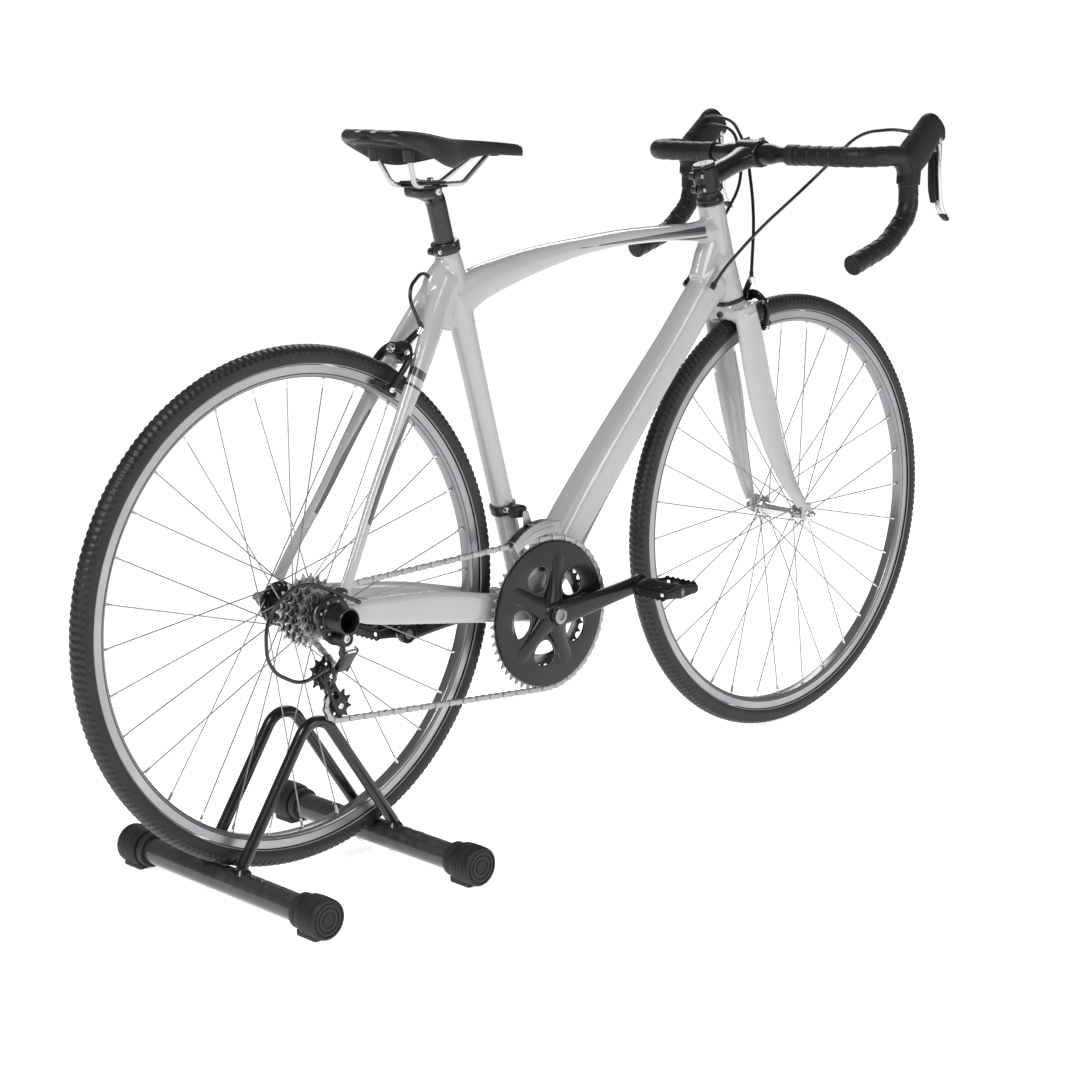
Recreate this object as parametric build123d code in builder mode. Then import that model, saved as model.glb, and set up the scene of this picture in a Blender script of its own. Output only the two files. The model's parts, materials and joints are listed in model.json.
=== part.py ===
from build123d import *
from math import acos, atan2, cos, degrees, pi, radians, sin, sqrt, tan
import os

os.makedirs("parts", exist_ok=True)

# Road bicycle standing with its rear wheel in a parking rack. +X forward, +Y left, +Z up,
# origin on the floor midway between the two wheel axles.

# ---- driving dimensions, millimetres and degrees ----
tyre_outer_r = 343.0
tyre_section_r = 16.0
tyre_wall = 3.4
rim_outer_r = 317.0
rim_depth = 16.5
rim_half_width = 10.0
rim_wall = 2.2
wheelbase = 981.0
chainstay_reach = 415.0
bracket_height = 288.0
seat_angle = 75.1
seat_tube_length = 546.0
seat_tube_r = 15.9
seatpost_r = 13.6
head_angle = 74.3
fork_rake = 30.3
head_tube_length = 152.0
head_tube_r = 20.0
head_tube_low_r = 23.5
steerer_r = 14.3
front_spacing = 100.0
rear_spacing = 130.0
crank_length = 170.0
ring_teeth = 54
inner_ring_teeth = 39
cog_teeth = (12, 13, 14, 15, 17, 19, 21, 23)
driven_cog = 2
cog_pitch = 4.8
jockey_teeth = 10
chain_pitch = 12.7
bar_half_width = 216.0
bar_r = 11.9
bar_clamp_r = 15.9
tape_r = 15.4
foot_tube_r = 18.0
foot_tube_spread = 129.0
foot_tube_length = 386.0
foot_wall = 1.6
cap_r = 26.5
cap_length = 52.0
loop_r = 8.0
loop_half_gap = 34.0
loop_height = 219.0
spoke_count = 32
spoke_r = 1.0
elbow_r = 1.2

caliper_offset = 29.0
pin_r = 3.0
housing_r = 2.5

# ---- clearances ----
run_gap = 0.05
seat_gap = 0.4
face_gap = 0.3
pad_gap = 2.5
chain_side_gap = 1.3

# ---- places worked out from the dimensions ----
foot_axis_z = cap_r
front_axle = Vector(wheelbase / 2, 0, tyre_outer_r)
cradle = tyre_outer_r + foot_tube_r + seat_gap
rear_axle = Vector(-wheelbase / 2, 0, foot_axis_z + sqrt(cradle**2 - foot_tube_spread**2))
bracket = Vector(rear_axle.X + chainstay_reach, 0, bracket_height)
seat_dir = Vector(-cos(radians(seat_angle)), 0, sin(radians(seat_angle)))
seat_top = bracket + seat_dir * seat_tube_length
steer_dir = Vector(-cos(radians(head_angle)), 0, sin(radians(head_angle)))
steer_fwd = Vector(sin(radians(head_angle)), 0, cos(radians(head_angle)))
steer_foot = Vector(front_axle.X - fork_rake / sin(radians(head_angle)), 0, front_axle.Z)
axle_drop = fork_rake / tan(radians(head_angle))
crown_low = sqrt((tyre_outer_r + 5) ** 2 - fork_rake**2) - axle_drop
crown_top = crown_low + 18
head_low = steer_foot + steer_dir * (crown_top + 6)
head_high = head_low + steer_dir * head_tube_length
stack_height = 18.0
stem_base = head_high + steer_dir * stack_height
stem_clamp_height = 38.0
bar_centre = stem_base + steer_dir * 22 + steer_fwd * 108
ring_y = -(rear_spacing / 2 - 9 - driven_cog * cog_pitch)
Y = Vector(0, 1, 0)


def pitch_r(teeth):
    return chain_pitch / 2 / sin(pi / teeth)


def point(base, dx, y, dz):
    return Vector(base.X + dx, y, base.Z + dz)


def across(start, along, x_dir=None):
    """Plane at start whose normal points along the given direction."""
    return Plane(origin=start, x_dir=x_dir, z_dir=along)


def rod(start, end, radius, bore=0, mode=Mode.ADD):
    """Straight round bar or tube from start to end."""
    with BuildSketch(across(start, end - start)) as disc:
        Circle(radius)
        if bore:
            Circle(bore, mode=Mode.SUBTRACT)
    extrude(disc.sketch, amount=(end - start).length, mode=mode)


def bead(sections, mode=Mode.ADD):
    """Loft through (centre, normal, half width in Y, half depth) ellipses."""
    faces = []
    for centre, normal, half_y, half_d in sections:
        with BuildSketch(across(centre, normal, Y)) as oval:
            Ellipse(half_y, half_d)
        faces.append(oval.sketch.faces()[0])
    loft(faces, mode=mode)


def box_beam(sections, corner, mode=Mode.ADD):
    """Loft through (centre, normal, width in Y, depth) rounded rectangles."""
    faces = []
    for centre, normal, width, depth in sections:
        with BuildSketch(across(centre, normal, Y)) as block:
            RectangleRounded(width, depth, corner)
        faces.append(block.sketch.faces()[0])
    loft(faces, mode=mode)


def slab(points, y_mid, thickness, mode=Mode.ADD):
    """Flat plate parallel to the wheel plane: (x, z) outline points, centred on y_mid."""
    with BuildSketch(Plane(origin=(0, y_mid, 0), x_dir=(1, 0, 0), z_dir=(0, -1, 0))) as shape:
        with BuildLine():
            Polyline(*points, close=True)
        make_face()
    extrude(shape.sketch, amount=thickness / 2, both=True, mode=mode)


def ring_around(axle, profile, mode=Mode.ADD):
    """Revolve a closed (radius, y) outline about the axle."""
    with BuildSketch(Plane(origin=axle, x_dir=(0, 0, 1), z_dir=(1, 0, 0))) as outline:
        with BuildLine():
            Polyline(*[(r, -y) for r, y in profile], close=True)
        make_face()
    revolve(outline.sketch, axis=Axis(axle, (0, 1, 0)), mode=mode)


def polyline_through(points, radii):
    """Straight runs joined by tangent arcs."""
    with BuildLine() as route:
        FilletPolyline(*points, radius=radii)
    return route.wires()[0]


def hose_radii(points):
    """The arc that each corner of a hose has room for."""
    radii = []
    for a, b, c in zip(points, points[1:], points[2:]):
        turn = (b - a).get_angle(c - b)
        shorter = min((b - a).length, (c - b).length)
        radii.append(0.45 * shorter / tan(radians(turn) / 2))
    return radii


def hose(points, radius):
    """Round hose along its route, with the largest arcs that its runs allow."""
    radii = hose_radii(points)
    print("hose radii", [round(r) for r in radii])
    route = polyline_through(points, radii)
    with BuildSketch(across(points[0], points[1] - points[0])) as end:
        Circle(radius)
    sweep(end.sketch, path=route)


def toothed(teeth, tip_rise=3.6, root_drop=4.2):
    """Sprocket outline as points about the origin."""
    base = pitch_r(teeth)
    step = 2 * pi / teeth
    points = []
    for k in range(teeth):
        for share, r in ((-0.30, base - root_drop), (-0.09, base + tip_rise), (0.09, base + tip_rise),
                         (0.30, base - root_drop)):
            a = (k + share) * step
            points.append((r * cos(a), r * sin(a)))
    return points


def sprocket(centre, y, teeth, thickness, bore, tip_rise=3.6, mode=Mode.ADD):
    with BuildSketch(Plane(origin=(centre.X, y, centre.Z), x_dir=(1, 0, 0), z_dir=(0, -1, 0))) as blank:
        with BuildLine():
            Polyline(*toothed(teeth, tip_rise), close=True)
        make_face()
        if bore:
            Circle(bore, mode=Mode.SUBTRACT)
    extrude(blank.sketch, amount=thickness / 2, both=True, mode=mode)


def save(builder, label):
    builder.part.label = label
    export_step(builder.part, "parts/" + label + ".step")


# ---- parking rack ----
foot_tops = foot_axis_z + foot_tube_r
leg_foot_z = foot_axis_z + 6
apex_r = 30.0
loop_holes = (loop_half_gap, loop_half_gap + 27, loop_half_gap + 52)
tube_x = [rear_axle.X + s * foot_tube_spread for s in (-1, 1)]

with BuildPart() as foot_tubes:
    for x in tube_x:
        half = Vector(0, foot_tube_length / 2, 0)
        rod(Vector(x, 0, foot_axis_z) - half, Vector(x, 0, foot_axis_z) + half, foot_tube_r,
            foot_tube_r - foot_wall)
    for x in tube_x:
        for hole_y in loop_holes:
            for s in (-1, 1):
                rod(Vector(x, s * hole_y, foot_axis_z), Vector(x, s * hole_y, foot_tops + 2),
                    loop_r + face_gap, mode=Mode.SUBTRACT)
                rod(Vector(x, s * hole_y, foot_axis_z - foot_tube_r - 2), Vector(x, s * hole_y,
                        foot_axis_z),
                    3.0 + face_gap, mode=Mode.SUBTRACT)
save(foot_tubes, "foot_tubes")


def loop_points(y):
    """Corners of one wheel loop: straight up out of a foot tube, over the apex and down again."""
    rise = foot_tops + 4
    crown = loop_height + apex_r * 0.72
    return [Vector(tube_x[0], y, leg_foot_z), Vector(tube_x[0], y, rise), Vector(rear_axle.X, y, crown),
            Vector(tube_x[1], y, rise), Vector(tube_x[1], y, leg_foot_z)]


with BuildPart() as wheel_loops:
    for s in (-1, 1):
        corners = loop_points(s * loop_half_gap)
        path = polyline_through(corners, [9, apex_r, 9])
        with BuildSketch(across(corners[0], Vector(0, 0, 1))) as section:
            Circle(loop_r)
        sweep(section.sketch, path=path)
        for x in tube_x:
            rod(Vector(x, s * loop_half_gap, leg_foot_z), Vector(x, s * loop_half_gap, 3.5), 3.0)
    for x in tube_x:
        for s in (-1, 1):
            low = foot_axis_z - foot_tube_r
            with BuildSketch(Plane.XY.offset(low - 4.2)) as hexagon:
                with Locations((x, s * loop_half_gap)):
                    RegularPolygon(5.6, 6)
            extrude(hexagon.sketch, amount=4)
save(wheel_loops, "wheel_loops")

with BuildPart() as foot_caps:
    for x in tube_x:
        for s in (-1, 1):
            end_y = s * (foot_tube_length / 2 + 15)
            inner_y = end_y - s * cap_length
            tip = Vector(x, end_y, foot_axis_z)
            rod(Vector(x, inner_y, foot_axis_z), Vector(x, inner_y + s * 22, foot_axis_z),
                foot_tube_r + 5, foot_tube_r + run_gap)
            rod(Vector(x, inner_y + s * 22, foot_axis_z), tip, cap_r)
            rod(Vector(x, inner_y + s * 22, foot_axis_z), Vector(x, s * foot_tube_length / 2, foot_axis_z),
                foot_tube_r + run_gap, mode=Mode.SUBTRACT)
            with Locations((x, (inner_y + tip.Y) / 2, 4)):
                Box(34, cap_length, 8)
            rod(Vector(x, inner_y, foot_axis_z), Vector(x, s * foot_tube_length / 2, foot_axis_z),
                foot_tube_r + run_gap, mode=Mode.SUBTRACT)
save(foot_caps, "foot_caps")

# ---- frame ----
shell_r = 21.0
shell_length = 68.0
seat_bore_depth = 190.0

with BuildPart() as seat_tube:
    rod(bracket, seat_top, seat_tube_r)
    rod(bracket - Y * (shell_length / 2), bracket + Y * (shell_length / 2), shell_r)
    rod(bracket - Y * shell_length, bracket + Y * shell_length, shell_r - 4, mode=Mode.SUBTRACT)
    rod(seat_top - seat_dir * seat_bore_depth, seat_top + seat_dir * 10, seatpost_r + run_gap,
        mode=Mode.SUBTRACT)
save(seat_tube, "seat_tube")

with BuildPart() as seat_tube_blank:
    rod(bracket, seat_top, seat_tube_r)
    rod(bracket - Y * (shell_length / 2), bracket + Y * (shell_length / 2), shell_r)

with BuildPart() as head_tube:
    rod(head_low, head_high, head_tube_r)
    waist = head_low + steer_dir * 70
    with BuildSketch(across(head_low, steer_dir)) as low_face:
        Circle(head_tube_low_r)
    with BuildSketch(across(waist, steer_dir)) as high_face:
        Circle(head_tube_r)
    loft([low_face.sketch.faces()[0], high_face.sketch.faces()[0]])
    rod(head_low - steer_dir, head_high + steer_dir, steerer_r + 3.2, mode=Mode.SUBTRACT)
save(head_tube, "head_tube")

with BuildPart() as head_tube_blank:
    rod(head_low, head_high, head_tube_r)
    loft([low_face.sketch.faces()[0], high_face.sketch.faces()[0]])

down_top = head_low + steer_dir * 62
down_dir = (down_top - bracket).normalized()
with BuildPart() as down_tube:
    run = (down_top - bracket).length
    box_beam([(bracket + Vector(2, 0, 8), down_dir, 48, 60), (bracket + down_dir * run * 0.35, down_dir,
            46, 58),
              (bracket + down_dir * run * 0.7, down_dir, 42, 50), (down_top - down_dir * 8, down_dir, 36,
                      44)], 12)
    add(seat_tube_blank.part, mode=Mode.SUBTRACT)
    add(head_tube_blank.part, mode=Mode.SUBTRACT)
save(down_tube, "down_tube")

# The top tube arches: deep behind the seat tube junction, slim along its middle.
top_start = seat_top - seat_dir * 66
top_end = head_high - steer_dir * 40
top_rise = 22.0


def top_centre(share):
    sag = top_rise * (1 - (2 * share - 1) ** 2)
    return top_start + (top_end - top_start) * share + Vector(0, 0, sag)


with BuildPart() as top_tube:
    shares = (0.0, 0.12, 0.3, 0.55, 0.8, 1.0)
    depths = (31, 25, 16, 12, 11.5, 14)
    widths = (13, 14, 15.5, 16.5, 17, 17)
    stations = []
    for share, depth, width in zip(shares, depths, widths):
        ahead = top_centre(min(share + 0.02, 1.02))
        behind = top_centre(share - 0.02)
        stations.append((top_centre(share), ahead - behind, width, depth))
    bead(stations)
    add(seat_tube_blank.part, mode=Mode.SUBTRACT)
    add(head_tube_blank.part, mode=Mode.SUBTRACT)
    add(down_tube.part, mode=Mode.SUBTRACT)
save(top_tube, "top_tube")

dropout_inner = rear_spacing / 2
dropout_thickness = 6.0
dropout_y = dropout_inner + dropout_thickness / 2
axle_r = 5.0
bridge = rear_axle + Vector(201, 0, 304)
stay_up = (bridge - rear_axle).normalized()
stay_back = Vector(-stay_up.Z, 0, stay_up.X)
stay_top = seat_top - seat_dir * 44 - Vector(8, 0, 0)

with BuildPart() as seat_stays:
    for s in (-1, 1):
        nodes = [point(stay_top, 0, s * 12, 0), point(bridge, 2, s * 30, 6), point(rear_axle, 92, s * 50,
                134),
                 point(rear_axle, 30, s * dropout_y, 24)]
        sizes = ((9, 12), (6.5, 12), (6, 9.5), (dropout_thickness / 2, 9))
        runs = []
        for k, (half_y, half_d) in enumerate(sizes):
            before = nodes[max(k - 1, 0)]
            after = nodes[min(k + 1, 3)]
            runs.append((nodes[k], after - before, half_y, half_d))
        bead(runs)
    rod(point(bridge, 0, -28, 0), point(bridge, 0, 28, 0), 8)
    rod(bridge, bridge + stay_back * 30, pin_r)
    rod(bridge + stay_back * 30, bridge + stay_back * 34, 6.5)
    add(seat_tube_blank.part, mode=Mode.SUBTRACT)
    add(top_tube.part, mode=Mode.SUBTRACT)
save(seat_stays, "seat_stays")

with BuildPart() as chain_stays:
    for s in (-1, 1):
        nodes = [point(bracket, -12, s * 27, 6), point(rear_axle, 300, s * 29, -48),
                 point(rear_axle, 200, s * 42, -28), point(rear_axle, 90, s * 58, -11),
                 point(rear_axle, 34, s * dropout_y, 0)]
        sizes = ((6, 15), (6, 20), (7.5, 23), (6, 19), (dropout_thickness / 2, 12))
        runs = []
        for k, (half_y, half_d) in enumerate(sizes):
            before = nodes[max(k - 1, 0)]
            after = nodes[min(k + 1, 4)]
            runs.append((nodes[k], after - before, half_y, half_d))
        bead(runs)
        plate = [(40, 12), (34, 30), (20, 34), (-12, 14), (-16, 2), (-14, -12), (-2, -16), (20, -13), (40,
                -11)]
        slab([(rear_axle.X + dx, rear_axle.Z + dz) for dx, dz in plate], s * dropout_y, dropout_thickness)
        rod(point(rear_axle, 0, s * (dropout_inner - 4), 0), point(rear_axle, 0, s * (dropout_inner + 12),
                0),
            axle_r + run_gap, mode=Mode.SUBTRACT)
    add(seat_tube_blank.part, mode=Mode.SUBTRACT)
    add(down_tube.part, mode=Mode.SUBTRACT)
    add(seat_stays.part, mode=Mode.SUBTRACT)
save(chain_stays, "chain_stays")

cup_lip = 4.0
spindle_r = 9.0
with BuildPart() as bearing_cups:
    for end, way, lip_r in ((head_low, -1, head_tube_low_r), (head_high, 1, head_tube_r)):
        rod(end - steer_dir * way * 12, end, steerer_r + 3.2, steerer_r + run_gap)
        rod(end, end + steer_dir * way * cup_lip, lip_r + 0.5, steerer_r + run_gap)
    for s in (-1, 1):
        rod(bracket + Y * (s * 20), bracket + Y * (s * shell_length / 2), shell_r - 4, spindle_r + run_gap)
        rod(bracket + Y * (s * shell_length / 2), bracket + Y * (s * (shell_length / 2 + 2.5)), shell_r - 1,
            spindle_r + run_gap)
save(bearing_cups, "bearing_cups")

with BuildPart() as seat_clamp:
    rod(seat_top - seat_dir * 12, seat_top, seat_tube_r + 3.5, seat_tube_r)
    rod(seat_top, seat_top + seat_dir * 3, seat_tube_r + 3.5, seatpost_r + run_gap)
    ear = seat_top - seat_dir * 5 - Vector(sin(radians(seat_angle)), 0, cos(radians(seat_angle))) * 20
    rod(ear - Y * 11, ear + Y * 11, 4.5)
    add(seat_tube_blank.part, mode=Mode.SUBTRACT)
    rod(seat_top - seat_dir, seat_top + seat_dir * 6, seatpost_r + run_gap, mode=Mode.SUBTRACT)
save(seat_clamp, "seat_clamp")

# ---- seatpost and saddle ----
post_insert = 120.0
post_shoulder = seat_top + seat_dir * 58
head_centre = post_shoulder + Vector(-22, 0, 20)
rail_z = head_centre.Z + 4
rail_r = 3.5
rail_y = 22.0

with BuildPart() as seatpost:
    rod(seat_top - seat_dir * post_insert, post_shoulder, seatpost_r)
    bead([(post_shoulder - seat_dir * 6, seat_dir, seatpost_r - 1.2, seatpost_r - 1),
          (post_shoulder + Vector(-8, 0, 11), Vector(-0.55, 0, 0.83), 13, 13),
          (head_centre - Vector(0, 0, 4), Vector(-0.8, 0, 0.6), 12, 11)])
    rod(head_centre + Vector(0, -30, -6), head_centre + Vector(0, 30, -6), 9)
    with Locations(head_centre + Vector(0, 0, 4)):
        Box(42, 60, 9)
    for s in (-1, 1):
        rod(Vector(head_centre.X - 40, s * rail_y, rail_z), Vector(head_centre.X + 40, s * rail_y, rail_z),
            rail_r + run_gap, mode=Mode.SUBTRACT)
        slab([(head_centre.X - 40, rail_z), (head_centre.X + 40, rail_z), (head_centre.X + 40, rail_z + 12),
              (head_centre.X - 40, rail_z + 12)], s * rail_y, 2 * rail_r - 0.6, mode=Mode.SUBTRACT)
save(seatpost, "seatpost")

with BuildPart() as saddle_rails:
    for s in (-1, 1):
        y = s * rail_y
        corners = [Vector(head_centre.X - 54, s * 34, rail_z + 44), Vector(head_centre.X - 34, y, rail_z),
                   Vector(head_centre.X + 52, y, rail_z), Vector(head_centre.X + 122, s * 9, rail_z + 44)]
        path = polyline_through(corners, [14, 22])
        with BuildSketch(across(corners[0], corners[1] - corners[0])) as section:
            Circle(rail_r)
        sweep(section.sketch, path=path)
save(saddle_rails, "saddle_rails")

saddle_rear = head_centre + Vector(-98, 0, 60)
saddle_length = 276.0
saddle_drop = 28.0
with BuildPart() as saddle:
    outline = ((0.0, 112, 20, -4), (0.14, 140, 34, -6), (0.3, 124, 38, -6), (0.5, 66, 34, -2), (0.75, 42,
            28, 0),
               (1.0, 34, 18, 2))
    ribs = []
    for share, width, depth, lift in outline:
        middle = saddle_rear + Vector(share * saddle_length, 0, -share * saddle_drop + lift)
        ribs.append((middle, Vector(1, 0, 0), width, depth))
    box_beam(ribs, 8.5)
    add(saddle_rails.part, mode=Mode.SUBTRACT)
save(saddle, "saddle")

# ---- fork and cockpit ----
leg_foot_y = front_spacing / 2 + 3
with BuildPart() as fork:
    rod(steer_foot + steer_dir * (crown_top - 4), stem_base + steer_dir * (stem_clamp_height - 2),
            steerer_r)
    rod(steer_foot + steer_dir * (crown_top - 1), steer_foot + steer_dir * (crown_top + 2), head_tube_low_r)
    with BuildSketch(across(steer_foot + steer_dir * (crown_low + 1), steer_dir, Y)) as crown_face:
        RectangleRounded(76, 46, 14)
    extrude(crown_face.sketch, amount=crown_top - crown_low - 1)
    for s in (-1, 1):
        top = steer_foot + steer_dir * (crown_low + 12) + Y * (s * 31)
        mid = steer_foot + steer_dir * 195 + Y * (s * 31)
        low = steer_foot + steer_dir * 70 + Y * (s * 44) + steer_fwd * 9
        foot = Vector(front_axle.X - 3, s * leg_foot_y, front_axle.Z + 14)
        bead([(top, -steer_dir, 8, 25), (mid, -steer_dir, 7.5, 26), (low, foot - mid, 6.5, 18),
              (foot, Vector(0.25, 0, -1), 3, 11)])
        tip = [(-12, 18), (8, 16), (10, 0), (7, -9), (-7, -9), (-10, 0)]
        slab([(front_axle.X + dx, front_axle.Z + dz) for dx, dz in tip], s * leg_foot_y, 6)
        rod(point(front_axle, 0, s * (leg_foot_y - 5), 0), point(front_axle, 0, s * (leg_foot_y + 5), 0),
            axle_r + run_gap, mode=Mode.SUBTRACT)
    pin_root = steer_foot + steer_dir * (crown_low + 9)
    ring_around(front_axle, [(200, -17.5), (tyre_outer_r + 4, -17.5), (tyre_outer_r + 4, 17.5), (200,
            17.5)],
                mode=Mode.SUBTRACT)
    rod(pin_root, pin_root + steer_fwd * (caliper_offset + 17), pin_r)
    rod(pin_root + steer_fwd * (caliper_offset + 17), pin_root + steer_fwd * (caliper_offset + 21), 6.5)
save(fork, "fork")

with BuildPart() as front_axle_bar:
    rod(point(front_axle, 0, -68, 0), point(front_axle, 0, 68, 0), axle_r)
    for s in (-1, 1):
        with BuildSketch(across(point(front_axle, 0, s * (leg_foot_y + 3.2), 0), Y * s)) as hexagon:
            RegularPolygon(8.5, 6)
            Circle(axle_r, mode=Mode.SUBTRACT)
        extrude(hexagon.sketch, amount=9)
save(front_axle_bar, "front_axle")

with BuildPart() as headset_stack:
    base = head_high + steer_dir * (cup_lip + 0.2)
    rod(base, base + steer_dir * 8, head_tube_r, steerer_r + run_gap)
    rod(base + steer_dir * 8, stem_base - steer_dir * 0.1, steerer_r + 3, steerer_r + run_gap)
    cap_base = stem_base + steer_dir * (stem_clamp_height + 0.1)
    rod(cap_base, cap_base + steer_dir * 5, steerer_r + 2.5)
save(headset_stack, "headset_stack")

stem_axis = (bar_centre - (stem_base + steer_dir * 19)).normalized()
with BuildPart() as stem:
    rod(stem_base, stem_base + steer_dir * stem_clamp_height, steerer_r + 4.5)
    root = stem_base + steer_dir * 19
    bead([(root, stem_axis, 17, 16), (root + stem_axis * 50, stem_axis, 14.5, 14),
          (bar_centre - stem_axis * 17, stem_axis, 19, 17)])
    rod(bar_centre - Y * 22, bar_centre + Y * 22, bar_clamp_r + 5)
    rod(stem_base - steer_dir, stem_base + steer_dir * (stem_clamp_height + 1), steerer_r + run_gap,
        mode=Mode.SUBTRACT)
    rod(bar_centre - Y * 30, bar_centre + Y * 30, bar_clamp_r + run_gap, mode=Mode.SUBTRACT)
    with BuildSketch(across(bar_centre + stem_axis * 0.5, stem_axis, Y)) as cut_face:
        Rectangle(80, 80)
    extrude(cut_face.sketch, amount=60, mode=Mode.SUBTRACT)
save(stem, "stem")

with BuildPart() as stem_faceplate:
    rod(bar_centre - Y * 22, bar_centre + Y * 22, bar_clamp_r + 5)
    rod(bar_centre - Y * 30, bar_centre + Y * 30, bar_clamp_r + run_gap, mode=Mode.SUBTRACT)
    with BuildSketch(across(bar_centre + stem_axis * 1.5, -stem_axis, Y)) as back_cut:
        Rectangle(80, 80)
    extrude(back_cut.sketch, amount=60, mode=Mode.SUBTRACT)
save(stem_faceplate, "stem_faceplate")


def bar_side(s):
    """Corners of one half of the handlebar, from the drop's end up to the bend beside the stem."""
    y = s * bar_half_width
    return [point(bar_centre, -24, y, -153), point(bar_centre, 53, y, -130), point(bar_centre, 106, y, -86),
            point(bar_centre, 101, y, 0), point(bar_centre, 0, y, 0)]


bend_radii = [90, 45, 38, 48]
with BuildPart() as handlebar:
    right = bar_side(-1)
    left = bar_side(1)
    path = polyline_through(right + left[::-1], bend_radii + bend_radii[::-1])
    with BuildSketch(across(right[0], right[1] - right[0])) as section:
        Circle(bar_r)
    sweep(section.sketch, path=path)
    rod(bar_centre - Y * 32, bar_centre + Y * 32, bar_clamp_r)
save(handlebar, "handlebar")

tape_end_y = 74.0
with BuildPart() as bar_tape:
    for s in (-1, 1):
        corners = bar_side(s) + [point(bar_centre, 0, s * tape_end_y, 0)]
        path = polyline_through(corners, bend_radii)
        with BuildSketch(across(corners[0], corners[1] - corners[0])) as section:
            Circle(tape_r)
            Circle(bar_r + run_gap, mode=Mode.SUBTRACT)
        sweep(section.sketch, path=path)
save(bar_tape, "bar_tape")

hood_outline = ((84, -8), (108, 14), (116, 40), (130, 57), (152, 59), (178, 48), (184, 34), (178, 21),
        (160, 14),
                (148, -6), (134, -20), (122, -42), (108, -44), (96, -24))
hood_width = 34.0
lever_pivot = point(bar_centre, 170, 0, 17)
barrel_r = 5.5
lever_pin_r = 2.0
paddle_pin_r = 1.5
with BuildPart() as brake_hoods:
    for s in (-1, 1):
        slab([(bar_centre.X + dx, bar_centre.Z + dz) for dx, dz in hood_outline], s * bar_half_width,
                hood_width)
    chamfer(brake_hoods.edges().filter_by(Plane.XZ), 6)
    for s in (-1, 1):
        corners = bar_side(s)[1:]
        path = polyline_through(corners, bend_radii[1:3])
        with BuildSketch(across(corners[0], corners[1] - corners[0])) as section:
            Circle(tape_r + run_gap)
        sweep(section.sketch, path=path, mode=Mode.SUBTRACT)
        pivot = point(lever_pivot, 0, s * bar_half_width, 0)
        rod(pivot - Y * 9, pivot + Y * 9, barrel_r + 0.5, mode=Mode.SUBTRACT)
        rod(pivot - Y * 12, pivot + Y * 12, lever_pin_r)
save(brake_hoods, "brake_hoods")

lever_front = ((176, 19), (181, 12), (176, -10), (178, -56), (183, -80), (192, -92), (202, -100), (203,
        -104),
               (190, -100), (176, -86), (170, -56), (168, -10), (166, 12))
paddle_outline = ((161, 6), (165, 6), (167, -12), (167, -54), (173, -76), (169, -76), (162, -56), (161,
        -12))
for s, name in ((-1, "right"), (1, "left")):
    with BuildPart() as brake_lever:
        slab([(bar_centre.X + dx, bar_centre.Z + dz) for dx, dz in lever_front], s * bar_half_width, 17)
        pivot = point(lever_pivot, 0, s * bar_half_width, 0)
        rod(pivot - Y * 8.5, pivot + Y * 8.5, barrel_r)
        rod(pivot - Y * 9, pivot + Y * 9, lever_pin_r + run_gap, mode=Mode.SUBTRACT)
        paddle_y = s * (bar_half_width - 3)
        rod(point(bar_centre, 161.2, paddle_y, 4), point(bar_centre, 169, paddle_y, 4), paddle_pin_r)
    save(brake_lever, "brake_lever_" + name)
    with BuildPart() as shift_paddle:
        slab([(bar_centre.X + dx, bar_centre.Z + dz) for dx, dz in paddle_outline],
                s * (bar_half_width - 3), 13)
        rod(point(bar_centre, 161, paddle_y, 4), point(bar_centre, 165.4, paddle_y, 4), 4)
        rod(point(bar_centre, 160, paddle_y, 4), point(bar_centre, 167, paddle_y, 4),
                paddle_pin_r + run_gap,
            mode=Mode.SUBTRACT)
    save(shift_paddle, "shift_paddle_" + name)

# ---- wheels ----
bead_r = rim_outer_r + face_gap
tyre_centre_r = tyre_outer_r - tyre_section_r


def tyre_profile(section_r, steps, start, stop):
    """Arc of the tyre's section as (radius, y) points; 0 degrees is the side, 90 the tread."""
    points = []
    for k in range(steps + 1):
        a = radians(start + (stop - start) * k / steps)
        points.append((tyre_centre_r + section_r * sin(a), section_r * cos(a)))
    return points


edge_angle = -degrees(acos(0.0) - acos((tyre_centre_r - bead_r) / tyre_section_r))
inner_section_r = tyre_section_r - tyre_wall
inner_edge = -degrees(acos(0.0) - acos((tyre_centre_r - bead_r) / inner_section_r))


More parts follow.
